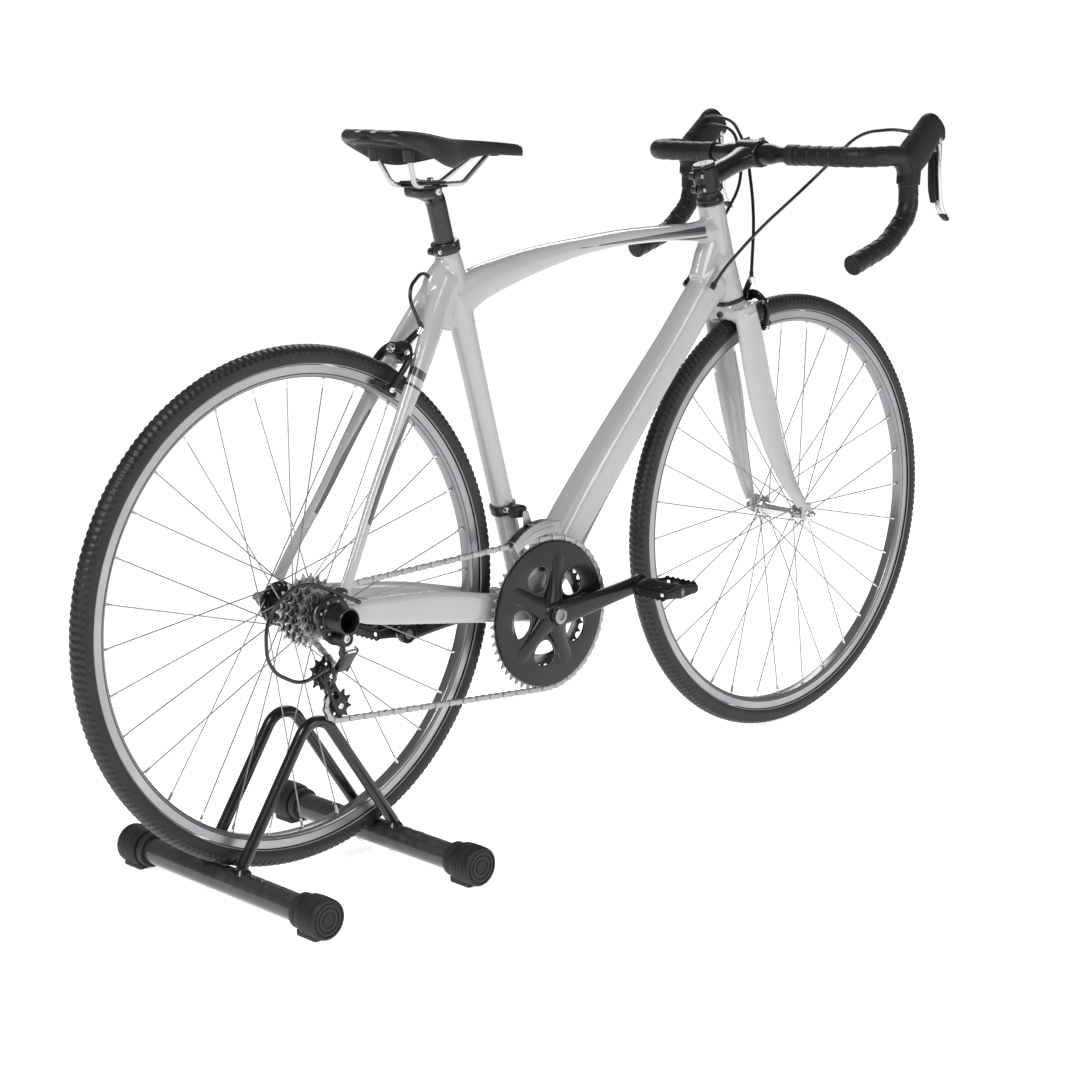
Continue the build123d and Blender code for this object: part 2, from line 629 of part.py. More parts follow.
def build_wheel(axle, flange_y, flange_r, hub_r, cross, end_name):
    with BuildPart() as tyre:
        ring_around(axle, tyre_profile(tyre_section_r, 22, edge_angle, 180 - edge_angle)
                    + tyre_profile(inner_section_r, 14, 180 - inner_edge, inner_edge))
    save(tyre, end_name + "_tyre")
    with BuildPart() as rim:
        inner_r = rim_outer_r - rim_depth
        well_r = rim_outer_r - 6.5
        half = rim_half_width
        ring_around(axle, [(inner_r, -half + 2.5), (inner_r + 3, -half), (rim_outer_r, -half),
                           (rim_outer_r, -half + rim_wall), (well_r, -half + rim_wall),
                           (well_r, half - rim_wall), (rim_outer_r, half - rim_wall), (rim_outer_r, half),
                           (inner_r + 3, half), (inner_r, half - 2.5)])
        ring_around(axle, [(inner_r + rim_wall, -half + 4), (well_r - rim_wall, -half + rim_wall),
                           (well_r - rim_wall, half - rim_wall), (inner_r + rim_wall, half - 4)],
                    mode=Mode.SUBTRACT)
    save(rim, end_name + "_rim")
    right_y, left_y = flange_y
    with BuildPart() as hub:
        ring_around(axle, [(axle_r + run_gap, right_y - 5), (hub_r, right_y - 5), (hub_r, right_y - 1.6),
                           (flange_r, right_y - 1.6), (flange_r, right_y + 1.6), (hub_r, right_y + 1.6),
                           (hub_r, left_y - 1.6), (flange_r, left_y - 1.6), (flange_r, left_y + 1.6),
                           (hub_r, left_y + 1.6), (hub_r, left_y + 5), (axle_r + run_gap, left_y + 5)])
        for y in flange_y:
            with BuildSketch(Plane(origin=(axle.X, y, axle.Z), x_dir=(1, 0, 0), z_dir=(0, -1, 0))) as holes:
                with PolarLocations(flange_r - 4, spoke_count // 2,
                        start_angle=0 if y > 0 else 360 / spoke_count):
                    Circle(elbow_r + run_gap)
            extrude(holes.sketch, amount=6, both=True, mode=Mode.SUBTRACT)
    save(hub, end_name + "_hub")
    with BuildPart() as spokes:
        per_side = spoke_count // 2
        for k in range(spoke_count):
            s = -1 if k % 2 else 1
            y = left_y if s > 0 else right_y
            lean = 1 if (k // 2) % 2 else -1
            rim_angle = 2 * pi * k / spoke_count
            hub_angle = rim_angle + lean * cross * 2 * pi / per_side
            face = s * (2.8 + abs(y) * 0.048) if lean > 0 else -s * 2.8
            head = Vector(axle.X + (flange_r - 4) * cos(hub_angle), y + face,
                    axle.Z + (flange_r - 4) * sin(hub_angle))
            nip_r = rim_outer_r - rim_depth - 0.32
            nipple = Vector(axle.X + nip_r * cos(rim_angle), s * 1.5, axle.Z + nip_r * sin(rim_angle))
            way = (nipple - head).normalized()
            rod(head, nipple, spoke_r)
            rod(Vector(head.X, y - face, head.Z), Vector(head.X, y + face * 1.2, head.Z), elbow_r)
            rod(nipple - way * 12, nipple, spoke_r + 1)
    save(spokes, end_name + "_spokes")


build_wheel(front_axle, (-36.0, 36.0), 19.0, 9.0, 2, "front")
build_wheel(rear_axle, (-15.8, 36.0), 29.0, 17.0, 3, "rear")

# ---- drivetrain ----
freehub_r = 17.2
outer_cog_y = ring_y - driven_cog * cog_pitch
with BuildPart() as cassette:
    for k, teeth in enumerate(cog_teeth):
        sprocket(rear_axle, outer_cog_y + k * cog_pitch, teeth, 1.8, freehub_r - 1)
    inner_cog_y = outer_cog_y + (len(cog_teeth) - 1) * cog_pitch
    rod(Vector(rear_axle.X, outer_cog_y - 3.2, rear_axle.Z), Vector(rear_axle.X, inner_cog_y + 0.4,
            rear_axle.Z),
        freehub_r, axle_r + run_gap)
save(cassette, "cassette")

peg_outer_r = 17.5
peg_bore_r = 14.5
peg_start = -(dropout_inner + dropout_thickness + 6)
peg_length = 31.0
with BuildPart() as rear_axle_bar:
    rod(point(rear_axle, 0, peg_start - 4, 0), point(rear_axle, 0, dropout_inner + 24, 0), axle_r)
    nut_at = point(rear_axle, 0, dropout_inner + dropout_thickness + 0.2, 0)
    with BuildSketch(across(nut_at, Y)) as hexagon:
        RegularPolygon(9, 6)
        Circle(axle_r, mode=Mode.SUBTRACT)
    extrude(hexagon.sketch, amount=9.0)
    rod(point(rear_axle, 0, outer_cog_y - 5, 0), point(rear_axle, 0, -dropout_inner + 0.2, 0), 8)
save(rear_axle_bar, "rear_axle")

hanger_bolt = point(rear_axle, 8, 0, -27)
knuckle_y = -(dropout_inner + dropout_thickness + 5.5)
with BuildPart() as derailleur_hanger:
    plate = [(14, 38), (30, 30), (16, 18), (12, -8), (20, -24), (14, -38), (0, -38), (-10, -28), (-22, -14),
             (-26, 2), (-20, 18), (-6, 30)]
    hanger_y = -(dropout_inner + dropout_thickness + 2.2)
    slab([(rear_axle.X + dx, rear_axle.Z + dz) for dx, dz in plate], hanger_y, 4)
    rod(point(rear_axle, 0, hanger_y - 4, 0), point(rear_axle, 0, hanger_y + 4, 0), axle_r + run_gap,
        mode=Mode.SUBTRACT)
    rod(Vector(hanger_bolt.X, hanger_y - 2.2, hanger_bolt.Z), Vector(hanger_bolt.X, hanger_y - 22,
            hanger_bolt.Z),
        10.5)

with BuildPart() as axle_peg:
    back = point(rear_axle, 0, hanger_y - 2.3, 0)
    rod(back, back - Y * 3, 27)
    rod(back - Y * 3, back - Y * (3 + peg_length), peg_outer_r)
    rod(back + Y, back - Y * 50, axle_r + run_gap, mode=Mode.SUBTRACT)
    rod(back - Y * 6, back - Y * 50, peg_bore_r, mode=Mode.SUBTRACT)
    for k in range(8):
        a = radians(22.5 + 45 * k)
        spot = back + Vector(22 * cos(a), 0, 22 * sin(a))
        rod(spot + Y, spot - Y * 4, 2.2, mode=Mode.SUBTRACT)
    rod(Vector(hanger_bolt.X, hanger_y + 4, hanger_bolt.Z), Vector(hanger_bolt.X, hanger_y - 30,
            hanger_bolt.Z),
        11.2, mode=Mode.SUBTRACT)
save(axle_peg, "axle_peg")

arm_angle = 5.8
with BuildPart() as chainrings:
    sprocket(bracket, ring_y, ring_teeth, 2.0, 88)
    with BuildSketch(Plane(origin=(bracket.X, ring_y, bracket.Z), x_dir=(1, 0, 0), z_dir=(0, -1,
            0))) as web:
        Circle(88.5)
        Circle(70, mode=Mode.SUBTRACT)
    extrude(web.sketch, amount=1.0, both=True)
    sprocket(bracket, ring_y + 7.4, inner_ring_teeth, 2.0, 60)
    for k in range(5):
        a = radians(arm_angle + 72 * k)
        spot = bracket + Vector(71 * cos(a), 0, 71 * sin(a))
        rod(spot + Y * (ring_y - 1), spot + Y * (ring_y + 8.4), 5)
save(chainrings, "chainrings")

arm_dir = Vector(cos(radians(arm_angle)), 0, sin(radians(arm_angle)))
spider_y = ring_y - 3.2
arm_y = -64.0
with BuildPart() as crank_arm_right:
    for k in range(5):
        a = radians(arm_angle + 72 * k)
        out = bracket + Vector(104 * cos(a), spider_y, 104 * sin(a))
        way = (out - bracket - Y * spider_y).normalized()
        with BuildSketch(Plane(origin=(0, spider_y, 0), x_dir=(1, 0, 0), z_dir=(0, -1, 0))) as web:
            with BuildLine():
                wide = Vector(-way.Z, 0, way.X)
                hub_pt = bracket
                tip_pt = bracket + way * 76
                Polyline((hub_pt.X + wide.X * 14, hub_pt.Z + wide.Z * 14), (tip_pt.X + wide.X * 9,
                        tip_pt.Z + wide.Z * 9),
                         (tip_pt.X - wide.X * 9, tip_pt.Z - wide.Z * 9), (hub_pt.X - wide.X * 14,
                                 hub_pt.Z - wide.Z * 14),
                         close=True)
            make_face()
        extrude(web.sketch, amount=2.1, both=True)
    rod(Vector(bracket.X, spider_y + 2.1, bracket.Z), Vector(bracket.X, spider_y - 2.1, bracket.Z), 104, 73)
    rod(Vector(bracket.X, spider_y + 8, bracket.Z), Vector(bracket.X, arm_y - 8, bracket.Z), 20)
    rod(bracket + Y * arm_y + arm_dir * crank_length + Y * 6,
            bracket + Y * (arm_y - 6) + arm_dir * crank_length, 14)
    bead([(bracket + Y * arm_y, arm_dir, 7, 18), (bracket + Y * (arm_y - 2) + arm_dir * 90, arm_dir, 6.5,
            14),
          (bracket + Y * arm_y + arm_dir * crank_length, arm_dir, 6, 12)])
    rod(bracket + Y * 10, bracket + Y * (arm_y - 4), 9, mode=Mode.SUBTRACT)
    pedal_eye = bracket + arm_dir * crank_length
    rod(pedal_eye + Y * (arm_y + 10), pedal_eye + Y * (arm_y - 10), 7, mode=Mode.SUBTRACT)
save(crank_arm_right, "crank_arm_right")

with BuildPart() as crank_arm_left:
    rod(bracket + Y * 46, bracket + Y * 72, 20)
    far_eye = bracket - arm_dir * crank_length
    rod(far_eye + Y * 58, far_eye + Y * 70, 14)
    bead([(bracket + Y * 64, -arm_dir, 7, 18), (bracket + Y * 66 - arm_dir * 90, -arm_dir, 6.5, 14),
          (bracket + Y * 64 - arm_dir * crank_length, -arm_dir, 6, 12)])
    rod(bracket + Y * 40, bracket + Y * 68, 9, mode=Mode.SUBTRACT)
    rod(far_eye + Y * 50, far_eye + Y * 80, 7, mode=Mode.SUBTRACT)
save(crank_arm_left, "crank_arm_left")

pedal_in = 82.0
pedal_out = 150.0
with BuildPart() as spindles:
    rod(bracket + Y * (arm_y - 4), bracket + Y * 68, 9)
    for eye, s in ((pedal_eye, -1), (far_eye, 1)):
        rod(eye + Y * (s * 58), eye + Y * (s * 72), 7)
        rod(eye + Y * (s * 72), eye + Y * (s * pedal_out), 4.5)
save(spindles, "spindles")

pedal_half_length = 34.0
for eye, s, name in ((pedal_eye, -1, "right"), (far_eye, 1, "left")):
    with BuildPart() as pedal:
        lo, hi = s * pedal_in, s * pedal_out
        centre_y = (lo + hi) / 2
        width = abs(hi - lo)
        with Locations((eye.X, centre_y, eye.Z)):
            Box(2 * pedal_half_length, width, 17)
            Box(2 * pedal_half_length - 14, width - 14, 20, mode=Mode.SUBTRACT)
        rod(Vector(eye.X, lo, eye.Z), Vector(eye.X, hi, eye.Z), 11)
        with Locations((eye.X, centre_y, eye.Z)):
            Box(2 * pedal_half_length - 8, 9, 12)
        rod(Vector(eye.X, lo - s, eye.Z), Vector(eye.X, hi + s, eye.Z), 4.5 + run_gap, mode=Mode.SUBTRACT)
        chamfer(pedal.edges().filter_by(Axis.Y).group_by(Axis.X)[0], 3)
    save(pedal, "pedal_" + name)

# ---- rear derailleur ----
upper_jockey_at = point(rear_axle, 4, 0, -80)
lower_jockey_at = point(rear_axle, 28, 0, -128)
cage_inner_y = ring_y + 5.0
cage_outer_y = ring_y - 5.0
link_length = 34.0
link_lean = -36.0
link_top = Vector(upper_jockey_at.X + 18, knuckle_y - 6, upper_jockey_at.Z + 32)
link_foot = link_top + Vector(0, -link_length * sin(radians(link_lean)),
        -link_length * cos(radians(link_lean)))
link_dir = (link_foot - link_top).normalized()
link_half = 11.0

with BuildPart() as derailleur_arm:
    rod(link_top - Vector(link_half + 5, 0, 0), link_top - Vector(link_half + 0.5, 0, 0), 6)
    neck_y = knuckle_y - 6
    slab([(link_top.X - link_half - 5, link_top.Z - 6), (link_top.X - link_half - 0.5, link_top.Z - 6),
          (link_top.X - link_half - 0.5, hanger_bolt.Z - 2), (link_top.X - link_half - 5,
                  hanger_bolt.Z + 2)],
         neck_y, 8)
    add(derailleur_hanger.part, mode=Mode.SUBTRACT)
with BuildPart() as hanger_with_arm:
    add(derailleur_hanger.part)
    add(derailleur_arm.part)
save(hanger_with_arm, "derailleur_hanger")

with BuildPart() as rear_derailleur_link:
    for x in (-link_half, link_half - 4):
        rod(link_top + Vector(x, 0, 0), link_top + Vector(x + 4, 0, 0), 6)
        rod(link_foot + Vector(x, 0, 0), link_foot + Vector(x + 4, 0, 0), 6)
    box_beam([(link_top - link_dir * 2, link_dir, 11, 2 * link_half), (link_foot + link_dir * 2, link_dir,
            11, 2 * link_half)], 3)
save(rear_derailleur_link, "rear_derailleur_link")

with BuildPart() as rear_derailleur_body:
    neck = link_foot - Vector(link_half + 0.5, 0, 0)
    rod(neck, neck - Vector(6, 0, 0), 6.5)
    plate_x = neck.X - 3
    boss = upper_jockey_at + Y * (cage_outer_y - 1.3)
    slab([(plate_x - 3, link_foot.Z + 6), (plate_x + 3, link_foot.Z + 6), (plate_x + 3,
            upper_jockey_at.Z - 8),
          (plate_x - 3, upper_jockey_at.Z - 8)], link_foot.Y, 11)
    slab([(plate_x - 3, upper_jockey_at.Z - 8), (upper_jockey_at.X, upper_jockey_at.Z - 11),
          (upper_jockey_at.X + 11, upper_jockey_at.Z - 4), (upper_jockey_at.X + 11, link_foot.Z - 8),
          (plate_x - 3, link_foot.Z - 8)], link_foot.Y + 1.5, 8)
    rod(boss, boss - Y * 6, 6.5)
    rod(boss + Y, Vector(boss.X, link_foot.Y - 4, boss.Z), 3 + run_gap, mode=Mode.SUBTRACT)
save(rear_derailleur_body, "rear_derailleur_body")

cage_dir = (lower_jockey_at - upper_jockey_at).normalized()
cage_wide = Vector(-cage_dir.Z, 0, cage_dir.X)
with BuildPart() as rear_derailleur_cage:
    ends = []
    for centre, way in ((upper_jockey_at, -1), (lower_jockey_at, 1)):
        far = centre + cage_dir * (way * 13)
        near = centre
        ends.append((near, far))
    outline = []
    for v in (ends[0][0] + cage_wide * 11, ends[0][1] + cage_wide * 5, ends[0][1] - cage_wide * 5,
              ends[0][0] - cage_wide * 11, ends[1][0] - cage_wide * 11, ends[1][1] - cage_wide * 5,
              ends[1][1] + cage_wide * 5, ends[1][0] + cage_wide * 11):
        outline.append((v.X, v.Z))
    for y in (cage_inner_y, cage_outer_y):
        slab(outline, y, 1.8)
    for centre, reach in ((upper_jockey_at, 7), (lower_jockey_at, 0)):
        rod(centre + Y * (cage_outer_y - 0.9 - reach), centre + Y * (cage_inner_y + 0.9), 3)
save(rear_derailleur_cage, "rear_derailleur_cage")

for centre, name in ((upper_jockey_at, "upper_jockey"), (lower_jockey_at, "lower_jockey")):
    with BuildPart() as jockey:
        sprocket(centre, ring_y, jockey_teeth, 2.2, 6, tip_rise=2.4)
        rod(centre + Y * (ring_y - 3.2), centre + Y * (ring_y + 3.2), 8, 3 + run_gap)
    save(jockey, name)


# ---- chain: two link bands round the sprockets, with rollers along its free runs ----
def tangent(c1, r1, w1, c2, r2, w2):
    """Ends of the belt run from circle 1 to circle 2; w is +1 or -1, the way each turns."""
    gap = c2 - c1
    dist = sqrt(gap.X**2 + gap.Z**2)
    base = atan2(gap.Z, gap.X)
    a = base - acos((r1 * w1 - r2 * w2) / dist)
    return ((c1.X + w1 * r1 * cos(a), c1.Z + w1 * r1 * sin(a)), (c2.X + w2 * r2 * cos(a),
            c2.Z + w2 * r2 * sin(a)))


stops = [(bracket, pitch_r(ring_teeth), 1), (lower_jockey_at, pitch_r(jockey_teeth), 1),
         (upper_jockey_at, pitch_r(jockey_teeth), -1), (rear_axle, pitch_r(cog_teeth[driven_cog]), 1)]
# Runs in order: ring bottom to lower jockey, up between the jockeys, to the cog, and back over the top.
order = [0, 3, 2, 1]
runs = []
for a, b in zip(order, order[1:] + order[:1]):
    runs.append(tangent(*stops[a], *stops[b]))


def band(offset):
    """Closed outline at the given distance outside the pitch line."""
    circles = [(stops[k][0], stops[k][1] + stops[k][2] * offset, stops[k][2]) for k in order]
    links = []
    for k in range(4):
        links.append(tangent(*circles[k], *circles[(k + 1) % 4]))
    with BuildLine(Plane(origin=(0, 0, 0), x_dir=(1, 0, 0), z_dir=(0, -1, 0))) as outline:
        for k in range(4):
            Line(links[k][0], links[k][1])
            centre, r, w = circles[(k + 1) % 4]
            p, q = links[k][1], links[(k + 1) % 4][0]
            a0 = atan2(p[1] - centre.Z, p[0] - centre.X)
            a1 = atan2(q[1] - centre.Z, q[0] - centre.X)
            while w > 0 and a1 < a0:
                a1 += 2 * pi
            while w < 0 and a1 > a0:
                a1 -= 2 * pi
            mid = (a0 + a1) / 2
            ThreePointArc(p, (centre.X + r * cos(mid), centre.Z + r * sin(mid)), q)
    return outline.wires()[0]


plate_half = 4.0
plate_y = chain_side_gap + 1.6
with BuildPart() as chain:
    for y in (ring_y - plate_y, ring_y + plate_y):
        ring_face = Face(band(plate_half), [band(-plate_half)])
        shifted = ring_face.moved(Location((0, y, 0)))
        extrude(shifted, amount=0.6, dir=(0, 1, 0), both=True)
    for start, end in runs:
        gap = sqrt((end[0] - start[0]) ** 2 + (end[1] - start[1]) ** 2)
        count = int(gap // chain_pitch) - 1
        for k in range(2, count - 1):
            share = (k + 0.5) * chain_pitch / gap
            spot = Vector(start[0] + (end[0] - start[0]) * share, ring_y,
                    start[1] + (end[1] - start[1]) * share)
            if (spot - bracket - Y * ring_y).length > pitch_r(ring_teeth) + 12:
                rod(spot - Y * plate_y, spot + Y * plate_y, 3.4)
save(chain, "chain")
print("chain pitch line runs", [round(sqrt((e[0] - s[0]) ** 2 + (e[1] - s[1]) ** 2)) for s, e in runs])

# ---- front derailleur ----
band_at = bracket + seat_dir * 158
with BuildPart() as front_derailleur:
    rod(band_at - seat_dir * 7, band_at + seat_dir * 7, seat_tube_r + 3, seat_tube_r)
    body_at = band_at + Vector(2, -27, -2)
    with Locations(body_at):
        Box(26, 16, 20)
    with Locations(band_at + Vector(0, -17, 0)):
        Box(18, 12, 12)
    add(seat_tube_blank.part, mode=Mode.SUBTRACT)
    slide_at = Vector(body_at.X + 3, 0, body_at.Z - 4)
    rod(slide_at + Y * -10, slide_at + Y * -45, 2.5 + run_gap, mode=Mode.SUBTRACT)
    add(seat_tube_blank.part, mode=Mode.SUBTRACT)
save(front_derailleur, "front_derailleur")

guide_r = pitch_r(ring_teeth) + 8
with BuildPart() as front_derailleur_cage:
    for y in (ring_y - 7.5, ring_y + 7.0):
        arc = []
        for k in range(7):
            a = radians(82 + 7 * k)
            arc.append((bracket.X + guide_r * cos(a), bracket.Z + guide_r * sin(a)))
        back = []
        for k in range(7):
            a = radians(124 - 7 * k)
            back.append((bracket.X + (guide_r + 20) * cos(a), bracket.Z + (guide_r + 20) * sin(a)))
        slab(arc + back, y, 1.4)
    a = radians(103)
    top_spot = bracket + Vector((guide_r + 17) * cos(a), 0, (guide_r + 17) * sin(a))
    rod(top_spot + Y * (ring_y - 7.5), top_spot + Y * (ring_y + 7.0), 2.5)
    slab([(top_spot.X - 9, top_spot.Z - 4), (top_spot.X + 9, top_spot.Z - 2), (slide_at.X + 5,
            slide_at.Z + 5),
          (slide_at.X - 5, slide_at.Z + 5)], ring_y + 7, 1.4)
    rod(slide_at + Y * (ring_y + 7.5), slide_at + Y * (body_at.Y + 4), 2.5)
save(front_derailleur_cage, "front_derailleur_cage")


# ---- brakes: dual-pivot arms on a plane whose normal is the pivot pin ----
def brake_arm(plane, s, level, reach, with_horn):
    """One caliper arm and its pad holder. s is +1 for the left arm."""
    arm = [(-s * 9, 9), (s * 16, 15), (s * 36, 4), (s * 41, -18), (s * 30, -reach - 5), (s * 21,
            -reach - 5),
           (s * 21, -reach + 6), (s * 30, -20), (s * 25, -6), (s * 12, -2), (-s * 9, -9)]
    with BuildSketch(plane.offset(level)) as blade:
        with BuildLine():
            Polyline(*arm, close=True)
        make_face()
        if with_horn:
            with BuildLine():
                Polyline((-s * 6, 4), (-s * 20, 38), (-s * 28, 36), (-s * 14, 2), close=True)
            make_face()
        Circle(pin_r + run_gap, mode=Mode.SUBTRACT)
    extrude(blade.sketch, amount=7)
    inner = rim_half_width + pad_gap
    with BuildSketch(plane.offset(level - 16)) as pad:
        with Locations((s * (inner + 4), -reach)):
            Rectangle(8, 8)
    extrude(pad.sketch, amount=42)


front_brake_plane = Plane(origin=steer_foot + steer_dir * (crown_low + 9) + steer_fwd * caliper_offset,
        x_dir=(0, 1, 0),
                          z_dir=steer_fwd)
rear_brake_plane = Plane(origin=bridge + stay_back * 13, x_dir=(0, -1, 0), z_dir=stay_back)
for plane, end_name in ((front_brake_plane, "front"), (rear_brake_plane, "rear")):
    reach = 47.0 if end_name == "front" else 56.0
    flip = 1 if end_name == "front" else -1
    for s, name in ((1, "left"), (-1, "right")):
        level = 1.0 if s > 0 else 9.0
        with BuildPart() as arm:
            brake_arm(plane, s * flip, level, reach, s > 0)
        save(arm, end_name + "_brake_arm_" + name)

# ---- cable housings, held at both ends ----
pull_anchor = front_brake_plane.from_local_coords(Vector(-24, 40, 4.5))
with BuildPart() as front_brake_housing:
    side_exit = Vector(bar_centre.X + 98, bar_half_width - 22, bar_centre.Z + 42)
    corners = [side_exit, side_exit + Vector(6, -66, 2), Vector(bar_centre.X + 66, 66, bar_centre.Z + 4),
               Vector(bar_centre.X + 34, 22, bar_centre.Z - 92), pull_anchor]
    hose(corners, housing_r)
save(front_brake_housing, "front_brake_housing")

port_top = Vector(down_top.X - 46, -26, down_top.Z - 32)
with BuildPart() as control_housings:
    for s in (-1, 1):
        corners = [Vector(bar_centre.X + 98, s * (bar_half_width - 22), bar_centre.Z + 30),
                   Vector(bar_centre.X + 104, s * (bar_half_width - 92), bar_centre.Z + 30),
                   Vector(bar_centre.X + 60, s * 66, bar_centre.Z - 44),
                   Vector(head_low.X + 24, s * 40, head_low.Z + 104),
                   Vector(port_top.X + 22, s * 30, port_top.Z + 24), Vector(port_top.X, s * 27, port_top.Z)]
        hose(corners, housing_r)
save(control_housings, "control_housings")

with BuildPart() as rear_brake_housing:
    pull = rear_brake_plane.from_local_coords(Vector(24, 40, 4.5))
    leave = point(stay_top, -18, 0, -20)
    corners = [leave, leave + Vector(-26, -3, 32), Vector(pull.X - 22, pull.Y * 0.8, pull.Z + 48), pull]
    hose(corners, housing_r)
save(rear_brake_housing, "rear_brake_housing")

with BuildPart() as rear_derailleur_housing:
    y = hanger_y - 16
    corners = [point(rear_axle, 44, -77, 12), point(rear_axle, 0, -84, 34), point(rear_axle, -60, y, 62),
               point(rear_axle, -118, y, 26), point(rear_axle, -118, y, -44), point(rear_axle, -64, y, -74),
               point(rear_axle, -22, y, -60)]
    hose(corners, housing_r)
save(rear_derailleur_housing, "rear_derailleur_housing")
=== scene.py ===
import bpy
import bmesh
import json
import random
from math import acos, atan2, cos, hypot, pi, radians, sin, sqrt, tan
from mathutils import Matrix, Vector
from mathutils.noise import noise


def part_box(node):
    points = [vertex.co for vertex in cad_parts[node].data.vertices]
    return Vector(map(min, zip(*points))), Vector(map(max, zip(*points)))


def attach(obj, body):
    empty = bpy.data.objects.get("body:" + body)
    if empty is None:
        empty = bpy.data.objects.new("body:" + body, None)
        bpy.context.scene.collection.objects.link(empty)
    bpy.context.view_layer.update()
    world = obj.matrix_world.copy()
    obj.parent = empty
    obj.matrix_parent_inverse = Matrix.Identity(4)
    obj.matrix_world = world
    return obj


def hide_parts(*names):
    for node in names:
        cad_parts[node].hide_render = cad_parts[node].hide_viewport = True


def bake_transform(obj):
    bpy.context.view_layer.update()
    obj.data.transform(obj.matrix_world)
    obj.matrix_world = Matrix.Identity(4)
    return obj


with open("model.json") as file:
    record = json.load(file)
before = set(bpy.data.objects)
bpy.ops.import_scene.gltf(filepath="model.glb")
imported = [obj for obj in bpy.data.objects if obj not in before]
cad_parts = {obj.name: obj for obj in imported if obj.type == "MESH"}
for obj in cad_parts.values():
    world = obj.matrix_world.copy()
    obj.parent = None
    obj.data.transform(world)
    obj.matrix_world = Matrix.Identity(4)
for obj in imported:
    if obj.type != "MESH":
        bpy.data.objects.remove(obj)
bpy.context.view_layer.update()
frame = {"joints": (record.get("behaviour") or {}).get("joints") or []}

random.seed(4)
mm = 0.001
joints = {j["name"]: j for j in frame["joints"]}


def at(jointName):
    return Vector(joints[jointName]["pos_m"])


rearAxle = at("rear_wheel_spin")
frontAxle = at("front_wheel_spin")
bracket = at("crank_turn")
headLow = at("steering_turn")
steerUp = Vector(joints["steering_turn"]["axis"]).normalized()
steerFront = Vector((steerUp.z, 0, -steerUp.x))
seatUp = Vector(joints["saddle_height"]["axis"]).normalized()
across = Vector((0, 1, 0))
ringY = (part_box("chain")[0].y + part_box("chain")[1].y) / 2
seatTop = bracket + seatUp * 0.546
headHigh = headLow + steerUp * 0.152
stemBase = headHigh + steerUp * 0.018
barCentre = stemBase + steerUp * 0.022 + steerFront * 0.108
print("frame loaded, bracket at", [round(v, 4) for v in bracket])

view = {"from": (-2.3411, -2.3429, 1.1012), "yaw": 0.7951, "pitch": 0.2161, "roll": -0.0117, "lens": 78.42}


def placeCamera():
    yaw, pitch, roll = view["yaw"], view["pitch"], view["roll"]
    ahead = Vector((cos(pitch) * cos(yaw), cos(pitch) * sin(yaw), -sin(pitch)))
    right = Vector((sin(yaw), -cos(yaw), 0))
    up = right.cross(ahead)
    tiltRight = right * cos(roll) + up * sin(roll)
    tiltUp = up * cos(roll) - right * sin(roll)
    data = bpy.data.cameras.new("camera")
    data.lens, data.sensor_width, data.clip_end = view["lens"], 36, 50
    camera = bpy.data.objects.new("camera", data)
    turn = Matrix((tiltRight, tiltUp, -ahead)).transposed().to_4x4()
    camera.matrix_world = Matrix.Translation(view["from"]) @ turn
    bpy.context.scene.collection.objects.link(camera)
    bpy.context.scene.camera = camera


studio = {"key": ((-3.2, -1.2, 3.6), 1.5, 105), "fill": ((1.4, -4.2, 1.6), 1.6, 34),
    "back": ((2.8, 2.6, 3.2), 1.8, 40), "world": 0.24}


def areaLight(name, where, size, power):
    data = bpy.data.lights.new(name, "AREA")
    data.shape, data.size, data.energy = "SQUARE", size, power
    light = bpy.data.objects.new(name, data)
    light.location = where
    light.rotation_euler = (Vector((0, 0, 0.45)) - Vector(where)).to_track_quat("-Z", "Y").to_euler()
    bpy.context.scene.collection.objects.link(light)


def lightStudio():
    for name in ("key", "fill", "back"):
        areaLight(name, *studio[name])
    world = bpy.data.worlds.new("studio")
    world.use_nodes = True
    tree = world.node_tree
    seen = tree.nodes["Background"]
    around = tree.nodes.new("ShaderNodeBackground")
    for node, strength in ((seen, 1.02), (around, studio["world"])):
        node.inputs["Color"].default_value = (1, 1, 1, 1)
        node.inputs["Strength"].default_value = strength
    mix = tree.nodes.new("ShaderNodeMixShader")
    tree.links.new(tree.nodes.new("ShaderNodeLightPath").outputs["Is Camera Ray"], mix.inputs["Fac"])
    tree.links.new(around.outputs[0], mix.inputs[1])
    tree.links.new(seen.outputs[0], mix.inputs[2])
    tree.links.new(mix.outputs[0], tree.nodes["World Output"].inputs["Surface"])
    bpy.context.scene.world = world
    scene = bpy.context.scene
    scene.view_settings.view_transform = "Standard"
    scene.view_settings.look = "None"


placeCamera()
lightStudio()


def group(name, inputs, outputs):
    tree = bpy.data.node_groups.new(name, "ShaderNodeTree")
    for label, kind, start in inputs:
        socket = tree.interface.new_socket(label, in_out="INPUT", socket_type=kind)
        socket.default_value = start
    for label, kind in outputs:
        tree.interface.new_socket(label, in_out="OUTPUT", socket_type=kind)
    return tree, tree.nodes.new("NodeGroupInput"), tree.nodes.new("NodeGroupOutput")


def mathNode(tree, kind, a, b=None, clamp=False):
    node = tree.nodes.new("ShaderNodeMath")
    node.operation, node.use_clamp = kind, clamp
    for slotIndex, value in enumerate((a, b)):
        if value is None:
            continue
        if isinstance(value, (int, float)):
            node.inputs[slotIndex].default_value = value
        else:
            tree.links.new(value, node.inputs[slotIndex])
    return node.outputs[0]


